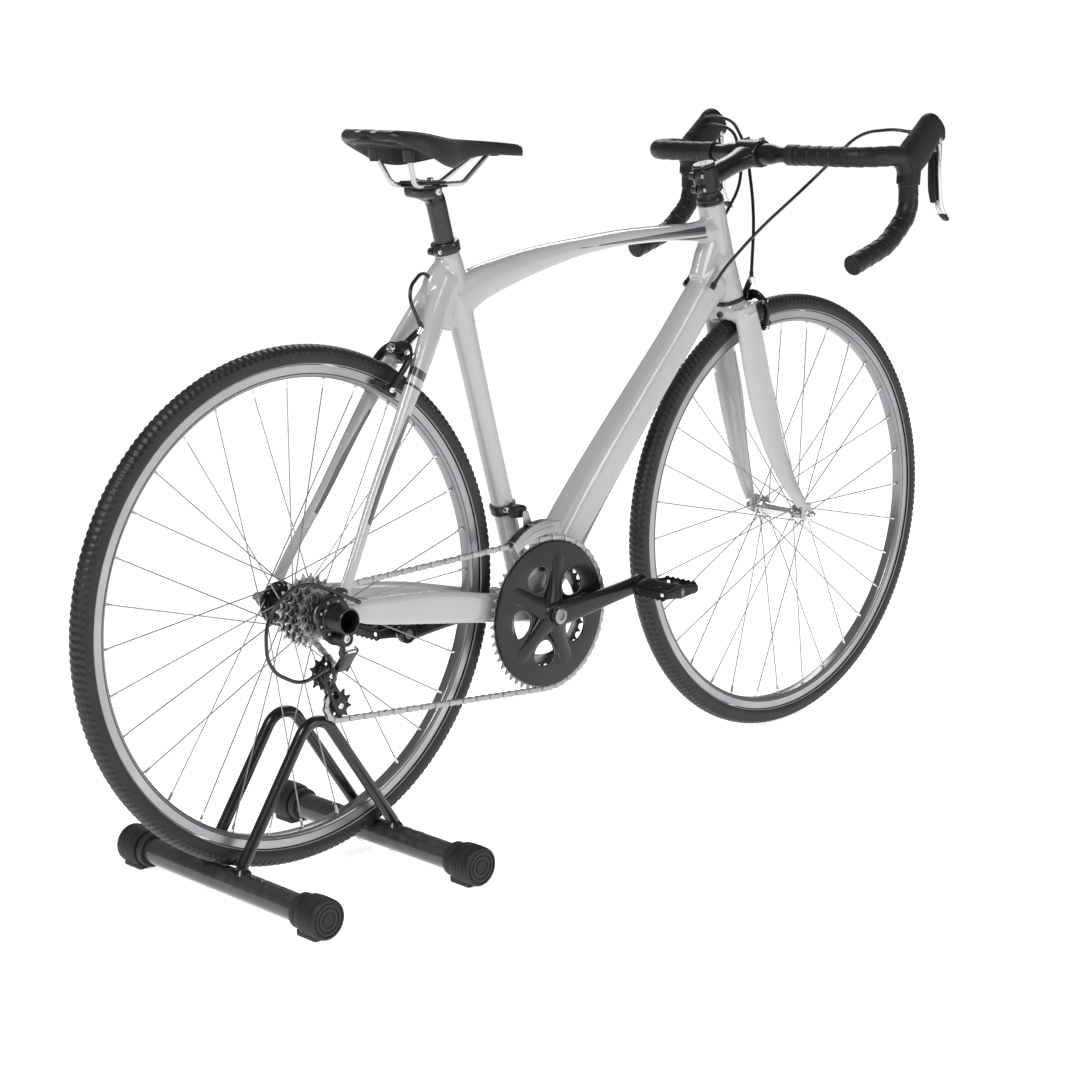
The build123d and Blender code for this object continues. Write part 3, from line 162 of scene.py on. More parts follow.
def rangeNode(tree, value, low, high, toLow, toHigh):
    node = tree.nodes.new("ShaderNodeMapRange")
    tree.links.new(value, node.inputs["Value"])
    for label, v in (("From Min", low), ("From Max", high), ("To Min", toLow), ("To Max", toHigh)):
        if isinstance(v, (int, float)):
            node.inputs[label].default_value = v
        else:
            tree.links.new(v, node.inputs[label])
    return node.outputs["Result"]


def noiseNode(tree, where, scale, detail, rough=0.55):
    node = tree.nodes.new("ShaderNodeTexNoise")
    node.inputs["Detail"].default_value = detail
    node.inputs["Roughness"].default_value = rough
    tree.links.new(where, node.inputs["Vector"])
    if isinstance(scale, (int, float)):
        node.inputs["Scale"].default_value = scale
    else:
        tree.links.new(scale, node.inputs["Scale"])
    return node.outputs["Fac"]


def makeHandled():
    # broad smears that change the roughness, and fine specks for the bump
    tree, inp, out = group("handledSurface", [("Scale", "NodeSocketFloat", 9.0),
        ("Rough Low", "NodeSocketFloat", 0.2), ("Rough High", "NodeSocketFloat", 0.35),
        ("Grain Scale", "NodeSocketFloat", 900.0)], [("Roughness", "NodeSocketFloat"),
        ("Height", "NodeSocketFloat"), ("Cloud", "NodeSocketFloat")])
    where = tree.nodes.new("ShaderNodeTexCoord").outputs["Object"]
    cloud = noiseNode(tree, where, inp.outputs["Scale"], 5)
    speck = noiseNode(tree, where, inp.outputs["Grain Scale"], 2)
    mixed = mathNode(tree, "ADD", mathNode(tree, "MULTIPLY", cloud, 0.75),
        mathNode(tree, "MULTIPLY", speck, 0.25))
    tree.links.new(rangeNode(tree, mixed, 0.3, 0.7, inp.outputs["Rough Low"], inp.outputs["Rough High"]),
        out.inputs["Roughness"])
    tree.links.new(speck, out.inputs["Height"])
    tree.links.new(cloud, out.inputs["Cloud"])
    return tree


def makeRubbed():
    # bright line where an edge stands proud
    tree, inp, out = group("rubbedEdge", [("Start", "NodeSocketFloat", 0.53),
        ("Full", "NodeSocketFloat", 0.62)], [("Mask", "NodeSocketFloat")])
    proud = tree.nodes.new("ShaderNodeNewGeometry").outputs["Pointiness"]
    where = tree.nodes.new("ShaderNodeTexCoord").outputs["Object"]
    patchy = noiseNode(tree, where, 60.0, 4)
    mask = rangeNode(tree, proud, inp.outputs["Start"], inp.outputs["Full"], 0.0, 1.0)
    tree.links.new(mathNode(tree, "MULTIPLY", mask, patchy, True), out.inputs["Mask"])
    return tree


def makeDust():
    # pale dust that settles on upward faces and in broad patches
    tree, inp, out = group("settledDust", [("Amount", "NodeSocketFloat", 0.1)],
        [("Mask", "NodeSocketFloat")])
    normal = tree.nodes.new("ShaderNodeNewGeometry").outputs["Normal"]
    split = tree.nodes.new("ShaderNodeSeparateXYZ")
    tree.links.new(normal, split.inputs[0])
    where = tree.nodes.new("ShaderNodeTexCoord").outputs["Object"]
    patch = noiseNode(tree, where, 22.0, 6, 0.65)
    face = rangeNode(tree, split.outputs["Z"], 0.1, 1.0, 0.25, 1.0)
    spread = mathNode(tree, "MULTIPLY", face, rangeNode(tree, patch, 0.4, 0.75, 0.0, 1.0))
    tree.links.new(mathNode(tree, "MULTIPLY", spread, inp.outputs["Amount"], True), out.inputs["Mask"])
    return tree


handled, rubbed, dust = makeHandled(), makeRubbed(), makeDust()


def useGroup(tree, source, **values):
    node = tree.nodes.new("ShaderNodeGroup")
    node.node_tree = source
    for label, value in values.items():
        node.inputs[label.replace("_", " ")].default_value = value
    return node


def mixColour(tree, mask, a, b):
    node = tree.nodes.new("ShaderNodeMix")
    node.data_type = "RGBA"
    tree.links.new(mask, node.inputs["Factor"])
    for label, value in (("A", a), ("B", b)):
        socket = [s for s in node.inputs if s.name == label and s.type == "RGBA"][0]
        if isinstance(value, (tuple, list)):
            socket.default_value = (*value, 1)
        else:
            tree.links.new(value, socket)
    return [s for s in node.outputs if s.type == "RGBA"][0]


def finish(name, colour, shade, rough, metallic=0.0, coat=0.0, coatRough=0.05, grain=900.0, bump=0.0,
        edge=None, dusty=0.0, spec=0.5, extra=None, sheen=0.0):
    # colour and shade are the two ends of its drift; extra(tree, tint, height) may change both
    material = bpy.data.materials.new(name)
    material.use_nodes = True
    tree = material.node_tree
    shader = tree.nodes["Principled BSDF"]
    surface = useGroup(tree, handled, Scale=9.0, Rough_Low=rough[0], Rough_High=rough[1], Grain_Scale=grain)
    tint = mixColour(tree, rangeNode(tree, surface.outputs["Cloud"], 0.35, 0.65, 0.0, 1.0), colour, shade)
    height = surface.outputs["Height"]
    if extra:
        tint, height = extra(tree, tint, height)
    if edge:
        tint = mixColour(tree, useGroup(tree, rubbed).outputs["Mask"], tint, edge)
    if dusty:
        tint = mixColour(tree, useGroup(tree, dust, Amount=dusty).outputs["Mask"], tint, (0.42, 0.41, 0.39))
    tree.links.new(tint, shader.inputs["Base Color"])
    tree.links.new(surface.outputs["Roughness"], shader.inputs["Roughness"])
    shader.inputs["Metallic"].default_value = metallic
    shader.inputs["Coat Weight"].default_value = coat
    shader.inputs["Coat Roughness"].default_value = coatRough
    shader.inputs["Specular IOR Level"].default_value = spec
    if sheen:
        shader.inputs["Sheen Weight"].default_value = sheen
        shader.inputs["Sheen Roughness"].default_value = 0.5
    if bump:
        node = tree.nodes.new("ShaderNodeBump")
        node.inputs["Strength"].default_value = 1.0
        node.inputs["Distance"].default_value = bump
        tree.links.new(height, node.inputs["Height"])
        tree.links.new(node.outputs["Normal"], shader.inputs["Normal"])
    material.diffuse_color = (*colour, 1)
    return material


def paintedTrim(dark):
    # the mesh carries the distance to the dark sweep's edge, in millimetres, below zero inside it
    def add(tree, tint, height):
        layer = tree.nodes.new("ShaderNodeAttribute")
        layer.attribute_name = "sweepEdge"
        mask = rangeNode(tree, layer.outputs["Fac"], -0.15, 0.15, 1.0, 0.0)
        return mixColour(tree, mask, tint, dark), height
    return add


def knurled(tree, tint, height):
    # small moulded lumps for grips, hoods and the saddle's sides
    where = tree.nodes.new("ShaderNodeTexCoord").outputs["Object"]
    cell = tree.nodes.new("ShaderNodeTexVoronoi")
    cell.inputs["Scale"].default_value = 420
    tree.links.new(where, cell.inputs["Vector"])
    lump = mathNode(tree, "ADD", mathNode(tree, "MULTIPLY", cell.outputs["Distance"], 0.8),
        mathNode(tree, "MULTIPLY", height, 0.4))
    return tint, lump


paint = {"light": (0.475, 0.485, 0.49), "drift": (0.445, 0.455, 0.465), "dark": (0.055, 0.06, 0.065)}
framePaint = finish("framePaint", paint["light"], paint["drift"], (0.16, 0.24), coat=0.85, coatRough=0.04,
    grain=1500, bump=0.00001, dusty=0.03, extra=paintedTrim(paint["dark"]))
rackPaint = finish("rackPaint", (0.005, 0.005, 0.0055), (0.009, 0.009, 0.0095), (0.18, 0.28), coat=0.4,
    coatRough=0.08, grain=1100, bump=0.00003, edge=(0.1, 0.1, 0.1), dusty=0.02, spec=0.35)
capPlastic = finish("capPlastic", (0.009, 0.009, 0.0095), (0.015, 0.015, 0.0155), (0.5, 0.66), grain=1400,
    bump=0.00008, edge=(0.07, 0.07, 0.07), dusty=0.04, spec=0.35)
blackMetal = finish("blackMetal", (0.006, 0.006, 0.0065), (0.01, 0.01, 0.011), (0.22, 0.32), coat=0.25,
    coatRough=0.15, grain=1600, bump=0.00001, edge=(0.1, 0.1, 0.105), dusty=0.01, spec=0.28)
greyFacet = finish("greyFacet", (0.09, 0.095, 0.1), (0.12, 0.125, 0.13), (0.25, 0.4), metallic=0.6,
    grain=1600, bump=0.00001)
blackPlastic = finish("blackPlastic", (0.007, 0.007, 0.0075), (0.012, 0.012, 0.0125), (0.38, 0.5),
    grain=1700, bump=0.00003, edge=(0.05, 0.05, 0.05), dusty=0.02, spec=0.3)
brightAlloy = finish("brightAlloy", (0.78, 0.78, 0.79), (0.7, 0.7, 0.715), (0.12, 0.24), metallic=1.0,
    grain=1900, bump=0.00001, edge=(0.9, 0.9, 0.9))
steel = finish("steel", (0.62, 0.62, 0.63), (0.5, 0.5, 0.51), (0.24, 0.4), metallic=1.0, grain=1500,
    bump=0.00002, edge=(0.8, 0.8, 0.8))
darkSteel = finish("darkSteel", (0.2, 0.2, 0.205), (0.29, 0.29, 0.295), (0.28, 0.44), metallic=1.0,
    grain=1500, bump=0.00002, edge=(0.6, 0.6, 0.6))
chainSteel = finish("chainSteel", (0.3, 0.3, 0.305), (0.4, 0.4, 0.405), (0.3, 0.42), metallic=1.0,
    grain=1500, bump=0.00002, edge=(0.65, 0.65, 0.65))
spokeSteel = finish("spokeSteel", (0.36, 0.36, 0.37), (0.28, 0.28, 0.29), (0.24, 0.36), metallic=0.8,
    grain=1500)
rimAlloy = finish("rimAlloy", (0.3, 0.31, 0.32), (0.25, 0.26, 0.27), (0.24, 0.34), metallic=0.8,
    grain=1500, bump=0.00001)
brakeTrack = finish("brakeTrack", (0.42, 0.43, 0.44), (0.35, 0.36, 0.37), (0.26, 0.4), metallic=0.85,
    grain=2600, bump=0.00002)
rimGroove = finish("rimGroove", (0.05, 0.05, 0.052), (0.07, 0.07, 0.072), (0.4, 0.5), grain=1500)
rubberTread = finish("rubberTread", (0.008, 0.008, 0.0085), (0.015, 0.015, 0.0155), (0.36, 0.5),
    grain=1300, bump=0.00012, edge=(0.08, 0.08, 0.08), dusty=0.05, spec=0.45)
rubberWall = finish("rubberWall", (0.007, 0.007, 0.0075), (0.01, 0.01, 0.0105), (0.42, 0.56), grain=1700,
    bump=0.00005, dusty=0.08, spec=0.45)
beadGrey = finish("beadGrey", (0.2, 0.2, 0.205), (0.26, 0.26, 0.265), (0.5, 0.6), grain=1500)
tapeWrap = finish("tapeWrap", (0.008, 0.008, 0.0085), (0.015, 0.015, 0.0155), (0.36, 0.52), grain=1500,
    bump=0.0001, dusty=0.02, extra=knurled, spec=0.3)
hoodRubber = finish("hoodRubber", (0.007, 0.007, 0.0075), (0.012, 0.012, 0.0125), (0.45, 0.6), grain=1500,
    bump=0.00012, dusty=0.02, extra=knurled, spec=0.28)
hoseSleeve = finish("hoseSleeve", (0.006, 0.006, 0.0065), (0.01, 0.01, 0.01), (0.25, 0.38), coat=0.2,
    grain=1500, bump=0.00002)
whiteDot = finish("whiteDot", (0.62, 0.63, 0.64), (0.55, 0.56, 0.57), (0.3, 0.4), grain=1500)
saddleCover = finish("saddleCover", (0.009, 0.009, 0.0095), (0.017, 0.017, 0.018), (0.34, 0.52),
    grain=1100, bump=0.00014, edge=(0.07, 0.07, 0.07), dusty=0.02, sheen=0.04, extra=knurled, spec=0.35)
saddlePanel = finish("saddlePanel", (0.5, 0.51, 0.52), (0.42, 0.43, 0.44), (0.3, 0.45), grain=1200,
    bump=0.00008)
saddleShell = finish("saddleShell", (0.01, 0.01, 0.0105), (0.015, 0.015, 0.0155), (0.3, 0.42), grain=1500,
    bump=0.00004)
print("materials made:", len(bpy.data.materials))


def piece(name, verts, faces, body, material, replaced, angle, indices):
    mesh = bpy.data.meshes.new(name)
    mesh.from_pydata([tuple(v) for v in verts], [], faces)
    mesh.validate()
    return wearPiece(name, mesh, body, material, replaced, angle, indices)


def wearPiece(name, mesh, body, material, replaced=(), angle=35, indices=None):
    bm = bmesh.new()
    bm.from_mesh(mesh)
    bmesh.ops.recalc_face_normals(bm, faces=bm.faces)
    bm.to_mesh(mesh)
    bm.free()
    for m in material if isinstance(material, (list, tuple)) else [material]:
        mesh.materials.append(m)
    if indices:
        for polygon in mesh.polygons:
            polygon.material_index = indices(polygon.center, polygon.normal)
    mesh.shade_smooth()
    mesh.set_sharp_from_angle(angle=radians(angle))
    thing = bpy.data.objects.new(name, mesh)
    bpy.context.scene.collection.objects.link(thing)
    if body:  # a piece with no body is left unparented, where it is made
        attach(thing, body)
    if replaced:
        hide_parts(*replaced)
    return thing


def baked(thing, *modifiers):
    # applies modifiers given as (kind, settings) and gives back a mesh
    for kind, settings in modifiers:
        modifier = thing.modifiers.new(kind.lower(), kind)
        for label, value in settings.items():
            setattr(modifier, label, value)
    bpy.context.view_layer.update()
    graph = bpy.context.evaluated_depsgraph_get()
    mesh = bpy.data.meshes.new_from_object(thing.evaluated_get(graph))
    return mesh


def shellOf(mesh):
    return [v.co.copy() for v in mesh.vertices], [list(p.vertices) for p in mesh.polygons]


def scratch(verts, faces):
    mesh = bpy.data.meshes.new("scratch")
    mesh.from_pydata([tuple(v) for v in verts], [], faces)
    thing = bpy.data.objects.new("scratch", mesh)
    bpy.context.scene.collection.objects.link(thing)
    return thing


def discard(thing):
    bpy.data.objects.remove(thing)


class Clay:
    # Loose closed shells that are gathered, then fused into one skin

    def __init__(self):
        self.verts, self.faces = [], []

    def add(self, verts, faces):
        base = len(self.verts)
        self.verts += [Vector(v) for v in verts]
        self.faces += [[base + i for i in f] for f in faces]
        return self

    def fused(self, voxel, passes=8, factor=0.5):
        thing = scratch(self.verts, self.faces)
        bm = bmesh.new()
        bm.from_mesh(thing.data)
        bmesh.ops.recalc_face_normals(bm, faces=bm.faces)
        bm.to_mesh(thing.data)
        bm.free()
        mesh = baked(thing, ("REMESH", {"mode": "VOXEL", "voxel_size": voxel}),
            ("SMOOTH", {"factor": factor, "iterations": passes}))
        discard(thing)
        return mesh


def rings(rows, cap=True, closed=False):
    # Skins rings of equal count into a tube
    count = len(rows[0])
    verts = [v for row in rows for v in row]
    faces = []
    span = len(rows) if closed else len(rows) - 1
    for r in range(span):
        a, b = r * count, (r + 1) % len(rows) * count
        for k in range(count):
            n = (k + 1) % count
            faces.append([a + k, a + n, b + n, b + k])
    if cap and not closed:
        faces.append(list(range(count))[::-1])
        faces.append([len(verts) - count + k for k in range(count)])
    return verts, faces


def oval(centre, normal, halfWide, halfDeep, power=2.0, count=28, wide=across):
    # Section squarer than an ellipse when power is above 2
    normal = Vector(normal).normalized()
    wide = (wide - normal * wide.dot(normal)).normalized()
    deep = normal.cross(wide)
    row = []
    for k in range(count):
        a = 2 * pi * k / count
        c, s = cos(a), sin(a)
        x = halfWide * abs(c) ** (2 / power) * (1 if c >= 0 else -1)
        y = halfDeep * abs(s) ** (2 / power) * (1 if s >= 0 else -1)
        row.append(Vector(centre) + wide * x + deep * y)
    return row


def through(points, steps=8):
    # Smooth curve that passes through the points, as rows of any length of numbers
    result = []
    for i in range(len(points) - 1):
        p0 = points[max(i - 1, 0)]
        p1, p2 = points[i], points[i + 1]
        p3 = points[min(i + 2, len(points) - 1)]
        for k in range(steps if i < len(points) - 2 else steps + 1):
            t = k / steps
            row = []
            for a, b, c, d in zip(p0, p1, p2, p3):
                row.append(0.5 * (2 * b + (c - a) * t + (2 * a - 5 * b + 4 * c - d) * t * t
                    + (3 * b - a - 3 * c + d) * t ** 3))
            result.append(row)
    return result


def limb(stations, power=2.0, steps=6, count=28, wide=across):
    # Skinned limb from rows of (x, y, z, half width, half depth), all in metres
    rows = through(stations, steps)
    skin = []
    for i, row in enumerate(rows):
        ahead, behind = rows[min(i + 1, len(rows) - 1)], rows[max(i - 1, 0)]
        normal = Vector(ahead[:3]) - Vector(behind[:3])
        skin.append(oval(row[:3], normal, row[3], row[4], power, count, wide))
    return rings(skin)


def lathe(origin, axis, profile, steps=48, closed=False, spread=None):
    # Turns (along, radius) points about an axis; closed joins the last point to the first
    axis = Vector(axis).normalized()
    side = axis.orthogonal().normalized() if abs(axis.y) < 0.9 else Vector((1, 0, 0))
    up = axis.cross(side)
    rows = []
    for k in range(steps):
        a = 2 * pi * k / steps
        out = side * cos(a) + up * sin(a)
        row = []
        for along, radius in profile:
            row.append(Vector(origin) + axis * along + out * (radius
                + (spread(along, radius, k) if spread else 0)))
        rows.append(row)
    verts = [v for row in rows for v in row]
    count = len(profile)
    faces = []
    for k in range(steps):
        n = (k + 1) % steps
        for i in range(count if closed else count - 1):
            j = (i + 1) % count
            faces.append([k * count + i, k * count + j, n * count + j, n * count + i])
    if not closed:
        faces.append([k * count for k in range(steps)])
        faces.append([k * count + count - 1 for k in range(steps)][::-1])
    return verts, faces


def turned(origin, axis, profile, steps=48, closed=False):
    # The same from a profile in millimetres
    return lathe(origin, axis, [(along * mm, radius * mm) for along, radius in profile], steps, closed)


def rounded(points, radius, steps=4):
    # Closed outline with its corners rounded, as (x, y) points
    out = []
    n = len(points)
    for i in range(n):
        p, a, b = Vector(points[i]), Vector(points[i - 1]), Vector(points[(i + 1) % n])
        toA, toB = (a - p), (b - p)
        cut = min(radius, toA.length * 0.45, toB.length * 0.45)
        start, end = p + toA.normalized() * cut, p + toB.normalized() * cut
        for k in range(steps + 1):
            t = k / steps
            out.append(tuple(start * (1 - t) ** 2 + p * 2 * t * (1 - t) + end * t * t))
    return out


def circle(cx, cy, radius, count=24, turn=0.0):
    return [(cx + radius * cos(2 * pi * k / count + turn), cy + radius * sin(2 * pi * k / count + turn))
        for k in range(count)]


def sidePlane(y):
    # Places a flat outline (x, z) on a plane at y; its thickness runs along y
    return Matrix.Translation((0, y, 0)) @ Matrix.Rotation(pi / 2, 4, "X")


def plate(loops, thickness, bevel, place, resolution=2):
    # Flat plate from an outline and its holes, with rounded edges
    curve = bpy.data.curves.new("plate", "CURVE")
    curve.dimensions, curve.fill_mode = "2D", "BOTH"
    for loop in loops:
        spline = curve.splines.new("POLY")
        spline.points.add(len(loop) - 1)
        for point, (x, y) in zip(spline.points, loop):
            point.co = (x, y, 0, 1)
        spline.use_cyclic_u = True
    curve.extrude = max(thickness / 2 - bevel, 0.00001)
    curve.bevel_depth, curve.bevel_resolution = bevel, resolution
    curve.offset = -bevel
    thing = bpy.data.objects.new("plate", curve)
    bpy.context.scene.collection.objects.link(thing)
    mesh = baked(thing)
    discard(thing)
    bm = bmesh.new()
    bm.from_mesh(mesh)
    bmesh.ops.remove_doubles(bm, verts=bm.verts, dist=0.000005)
    bm.transform(place)
    bm.verts.index_update()
    verts = [v.co.copy() for v in bm.verts]
    faces = [[v.index for v in f.verts] for f in bm.faces]
    bm.free()
    return verts, faces


class Kit:
    # Gathers shells with their material numbers into one piece

    def __init__(self):
        self.verts, self.faces, self.marks = [], [], []

    def add(self, shell, mark=0):
        verts, faces = shell
        base = len(self.verts)
        self.verts += [Vector(v) for v in verts]
        self.faces += [[base + i for i in f] for f in faces]
        self.marks += [mark] * len(faces)
        return self

    def build(self, name, body, materials, replaced=(), angle=35):
        mesh = bpy.data.meshes.new(name)
        mesh.from_pydata([tuple(v) for v in self.verts], [], self.faces)
        mesh.polygons.foreach_set("material_index", self.marks)
        return wearPiece(name, mesh, body, materials, replaced, angle)


def bolt(where, axis, radius, height, socket=True, steps=24):
    # Domed bolt head with a hexagon socket in its face
    axis = Vector(axis).normalized()
    shape = [(0, radius * 0.98), (height * 0.55, radius), (height * 0.85, radius * 0.9),
        (height, radius * 0.68)]
    if socket:
        shape += [(height, radius * 0.5), (height * 0.45, radius * 0.48)]
    return lathe(where, axis, shape, steps)


def hose(points, radius, sides=4):
    # Bent hose on a smooth curve with these control points
    curve = bpy.data.curves.new("hose", "CURVE")
    curve.dimensions, curve.resolution_u = "3D", 14
    curve.bevel_depth, curve.bevel_resolution, curve.use_fill_caps = radius, sides, True
    spline = curve.splines.new("NURBS")
    spline.points.add(len(points) - 1)
    for point, co in zip(spline.points, points):
        point.co = (*co, 1)
    spline.order_u, spline.use_endpoint_u = 3, True
    thing = bpy.data.objects.new("hose", curve)
    bpy.context.scene.collection.objects.link(thing)
    mesh = baked(thing)
    discard(thing)
    return shellOf(mesh)


def filletPath(points, radii, spacing):
    # Straight runs joined by arcs, cut into even steps: (place, direction) pairs
    marks = [Vector(points[0])]
    for i in range(1, len(points) - 1):
        a, p, b = Vector(points[i - 1]), Vector(points[i]), Vector(points[i + 1])
        u, v = (a - p).normalized(), (b - p).normalized()
        half = acos(max(-1, min(1, u.dot(v)))) / 2
        cut = radii[i - 1] / tan(half)
        middle = p + (u + v).normalized() * (radii[i - 1] / sin(half))
        start, end = p + u * cut, p + v * cut
        turn = (start - middle).angle(end - middle)
        steps = max(6, int(turn * radii[i - 1] / 0.002))
        swing = (start - middle).cross(end - middle).normalized()
        for k in range(steps + 1):
            marks.append(middle + Matrix.Rotation(turn * k / steps, 3, swing) @ (start - middle))
    marks.append(Vector(points[-1]))
    lengths = [0.0]
    for a, b in zip(marks, marks[1:]):
        lengths.append(lengths[-1] + (b - a).length)
    count = max(2, round(lengths[-1] / spacing))
    out, seg = [], 0
    for k in range(count + 1):
        want = lengths[-1] * k / count
        while seg < len(marks) - 2 and lengths[seg + 1] < want:
            seg += 1
        span = max(lengths[seg + 1] - lengths[seg], 1e-9)
        t = (want - lengths[seg]) / span
        out.append((marks[seg].lerp(marks[seg + 1], t), (marks[seg + 1] - marks[seg]).normalized(), want))
    return out


def sweepAlong(path, radiusAt, sides=32, startUp=Vector((0, 0, 1))):
    # Skins a tube along path; radiusAt(distance, angle) gives its radius
    up = startUp
    rows = []
    for place, way, travelled in path:
        up = (up - way * up.dot(way)).normalized()
        side = way.cross(up)
        row = []
        for k in range(sides):
            a = 2 * pi * k / sides
            row.append(place + (up * cos(a) + side * sin(a)) * radiusAt(travelled, a))
        rows.append(row)
    return rings(rows)


tubes = {"seat": [(2, 0, 0, 17, 20), (-14, 0, 60, 16, 17), (-60, 0, 225, 16, 16), (-104, 0, 390, 16, 18),
    (-126, 0, 470, 16, 23), (-139.5, 0, 524, 15.9, 16)], "top": [(158, 0, 446, 17, 30),
    (203, 0, 467, 16, 25.5), (253, 0, 480, 15.5, 22), (303, 0, 490.5, 15, 19), (358, 0, 499, 15.5, 15.5),
    (413, 0, 505.5, 16, 12.5), (489, 0, 511, 17, 11.5), (573, 0, 511.5, 18, 11.5),
    (645, 0, 508.7, 18, 14), (700, 0, 511, 16, 20)], "down": [(0, 0, 8, 26, 29), (60, 0, 72, 26, 30),
    (121, 0, 144.5, 24, 29), (200, 0, 230, 22, 27), (307, 0, 340, 19.5, 25), (365, 0, 402, 18.5, 26),
    (405, 0, 438, 18, 30)], "stay": [(274, 8, 770, 9, 19), (243, 15, 727, 9, 19), (205, 29, 672, 8, 15.5),
    (150, 41, 588, 7, 11), (95, 50, 500, 6, 9.5), (50, 62, 428, 5, 9), (26, 67, 388, 3.4, 10)],
    "chain": [(403, 25, 294, 9, 19), (360, 28, 302, 7, 20), (300, 30, 314, 6.6, 21.5),
    (207, 42, 334, 7, 23), (93, 58, 353, 6.6, 19), (50, 66, 360, 4, 14), (28, 68, 364, 3.2, 12)], }
def rel(base, row):
    return [base.x + row[0] * mm, row[1] * mm, base.z + row[2] * mm, *(v * mm for v in row[3:])]


def frameSkin():
    clay = Clay()
    back = rearAxle - Vector((0, 0, rearAxle.z))
    clay.add(*limb([rel(bracket, r) for r in tubes["seat"]], steps=6))
    topRows = [rel(bracket + Vector((-0.288, 0, 0)), r) for r in tubes["top"]]
    clay.add(*limb(topRows, power=2.5, steps=8))
    clay.add(*limb([rel(bracket, r) for r in tubes["down"]], power=4.2, steps=6, count=36))
    for s in (-1, 1):
        stay = [rel(back, (r[0], r[1] * s, *r[2:])) for r in tubes["stay"]]
        clay.add(*limb(stay, power=2.6, steps=8))
        low = [rel(back, (r[0], r[1] * s, *r[2:])) for r in tubes["chain"]]
        clay.add(*limb(low, power=2.8, steps=8))
    shell = [(-0.034, 0.0208), (0.034, 0.0208)]
    clay.add(*lathe(bracket, across, shell, 64))
    head = [(0.0003, 0.0236), (0.006, 0.0238), (0.03, 0.0225), (0.07, 0.0203), (0.12, 0.0198),
        (0.146, 0.0203), (0.1517, 0.0203)]
    clay.add(*lathe(headLow, steerUp, head, 64))
    # gusset in the angle of the top tube and the head tube, and the arched web behind the seat tube
    clay.add(*limb([rel(bracket, (372, 0, 432, 14, 22)), rel(bracket, (392, 0, 462, 15, 30)),
        rel(bracket, (402, 0, 490, 15, 26))], power=2.4))
    clay.add(*limb([rel(back, (283, 0, 704, 8, 10)), rel(back, (262, 0, 726, 13, 22)),
        rel(back, (262, 0, 760, 14, 26)), rel(back, (280, 0, 790, 13, 14))], power=2.4))
    clay.add(*limb([rel(back, (205, -26, 667, 9, 9)), rel(back, (203, 0, 668, 9, 9)),
        rel(back, (205, 26, 667, 9, 9))], wide=Vector((0, 0, 1))))
    mesh = clay.fused(0.0023, passes=7)
    layer = mesh.attributes.new("sweepEdge", "FLOAT", "POINT")
    layer.data.foreach_set("value", [sweepDistance(v.co) for v in mesh.vertices])
    return mesh


def sweepDistance(co):
    # Distance in millimetres to the edge of the nearest dark sweep, below zero inside it
    x, y, z = (co.x - bracket.x) / mm, abs(co.y) / mm, (co.z - bracket.z) / mm
    # along the top tube near the head: a long blade that widens forward
    blade = 1000.0
    if x > 95 and z > 470:
        t = (x - 100) / 275
        middle = 504 + 10.5 * t - 3.0 * t * t
        half = 0.6 + 5.6 * t ** 1.3 if t > 0 else 0.0
        blade = max(abs(z - middle) - half, -(x - 100), x - 366)
        lower = max(abs(z - (497.5 + 3.5 * t)) - (0.3 + 1.6 * max(t, 0)), 150 - x, x - 372)
        blade = min(blade, lower)
        if y < 5:
            blade = max(blade, 3.0)
    # under the down tube
    along = (x * 0.678 + z * 0.735)
    offset = (z * 0.678 - x * 0.735)
    under = max(offset + 13.5 - 7.0 * max(0.0, 1 - (along - 60) / 260), 62 - along,
        along - 340) if x > 20 and z < 420 else 1000.0
    if x < -100 and z > 20:
        # two bands across the stays below the brake, and a long blade low on each stay
        sx, sz = co.x - rearAxle.x, co.z - rearAxle.z
        run = (sx * 0.551 + sz * 0.834) / mm
        off = (sz * 0.551 - sx * 0.834) / mm
        bands = min(max(abs(run - 345) - 6, abs(off + 3) - 40), max(abs(run - 326) - 2, abs(off + 3) - 40))
        blade2 = max(abs(run - 210) - 78, off + 3.5 - 4.0 * (1 - abs(run - 210) / 78))
        if run > 90 and sx / mm < 224 and sz / mm < 330:
            under = min(under, bands, blade2)
    return min(blade, under, 50.0)


def buildFrame():
    mesh = frameSkin()
    wearPiece("frame_skin", mesh, "frame", framePaint,
        ("seat_tube", "head_tube", "down_tube", "top_tube", "seat_stays", "chain_stays"), angle=60)


buildFrame()
print("frame skinned")

forkShape = {"length": 0.3622, "crown": 0.344, "tyreRoom": 0.3475,
    "blade": [(0.352, 30, 0, 10, 22), (0.31, 31, 0.5, 9, 25), (0.25, 31, 0, 8.6, 27),
    (0.19, 32, 0.5, 8.4, 26.5), (0.12, 37, 3, 7.4, 21.5), (0.07, 43, 9, 6.2, 16.5),
    (0.035, 49, 17, 4.8, 13), (0.012, 52.8, 24, 3.4, 11)]}


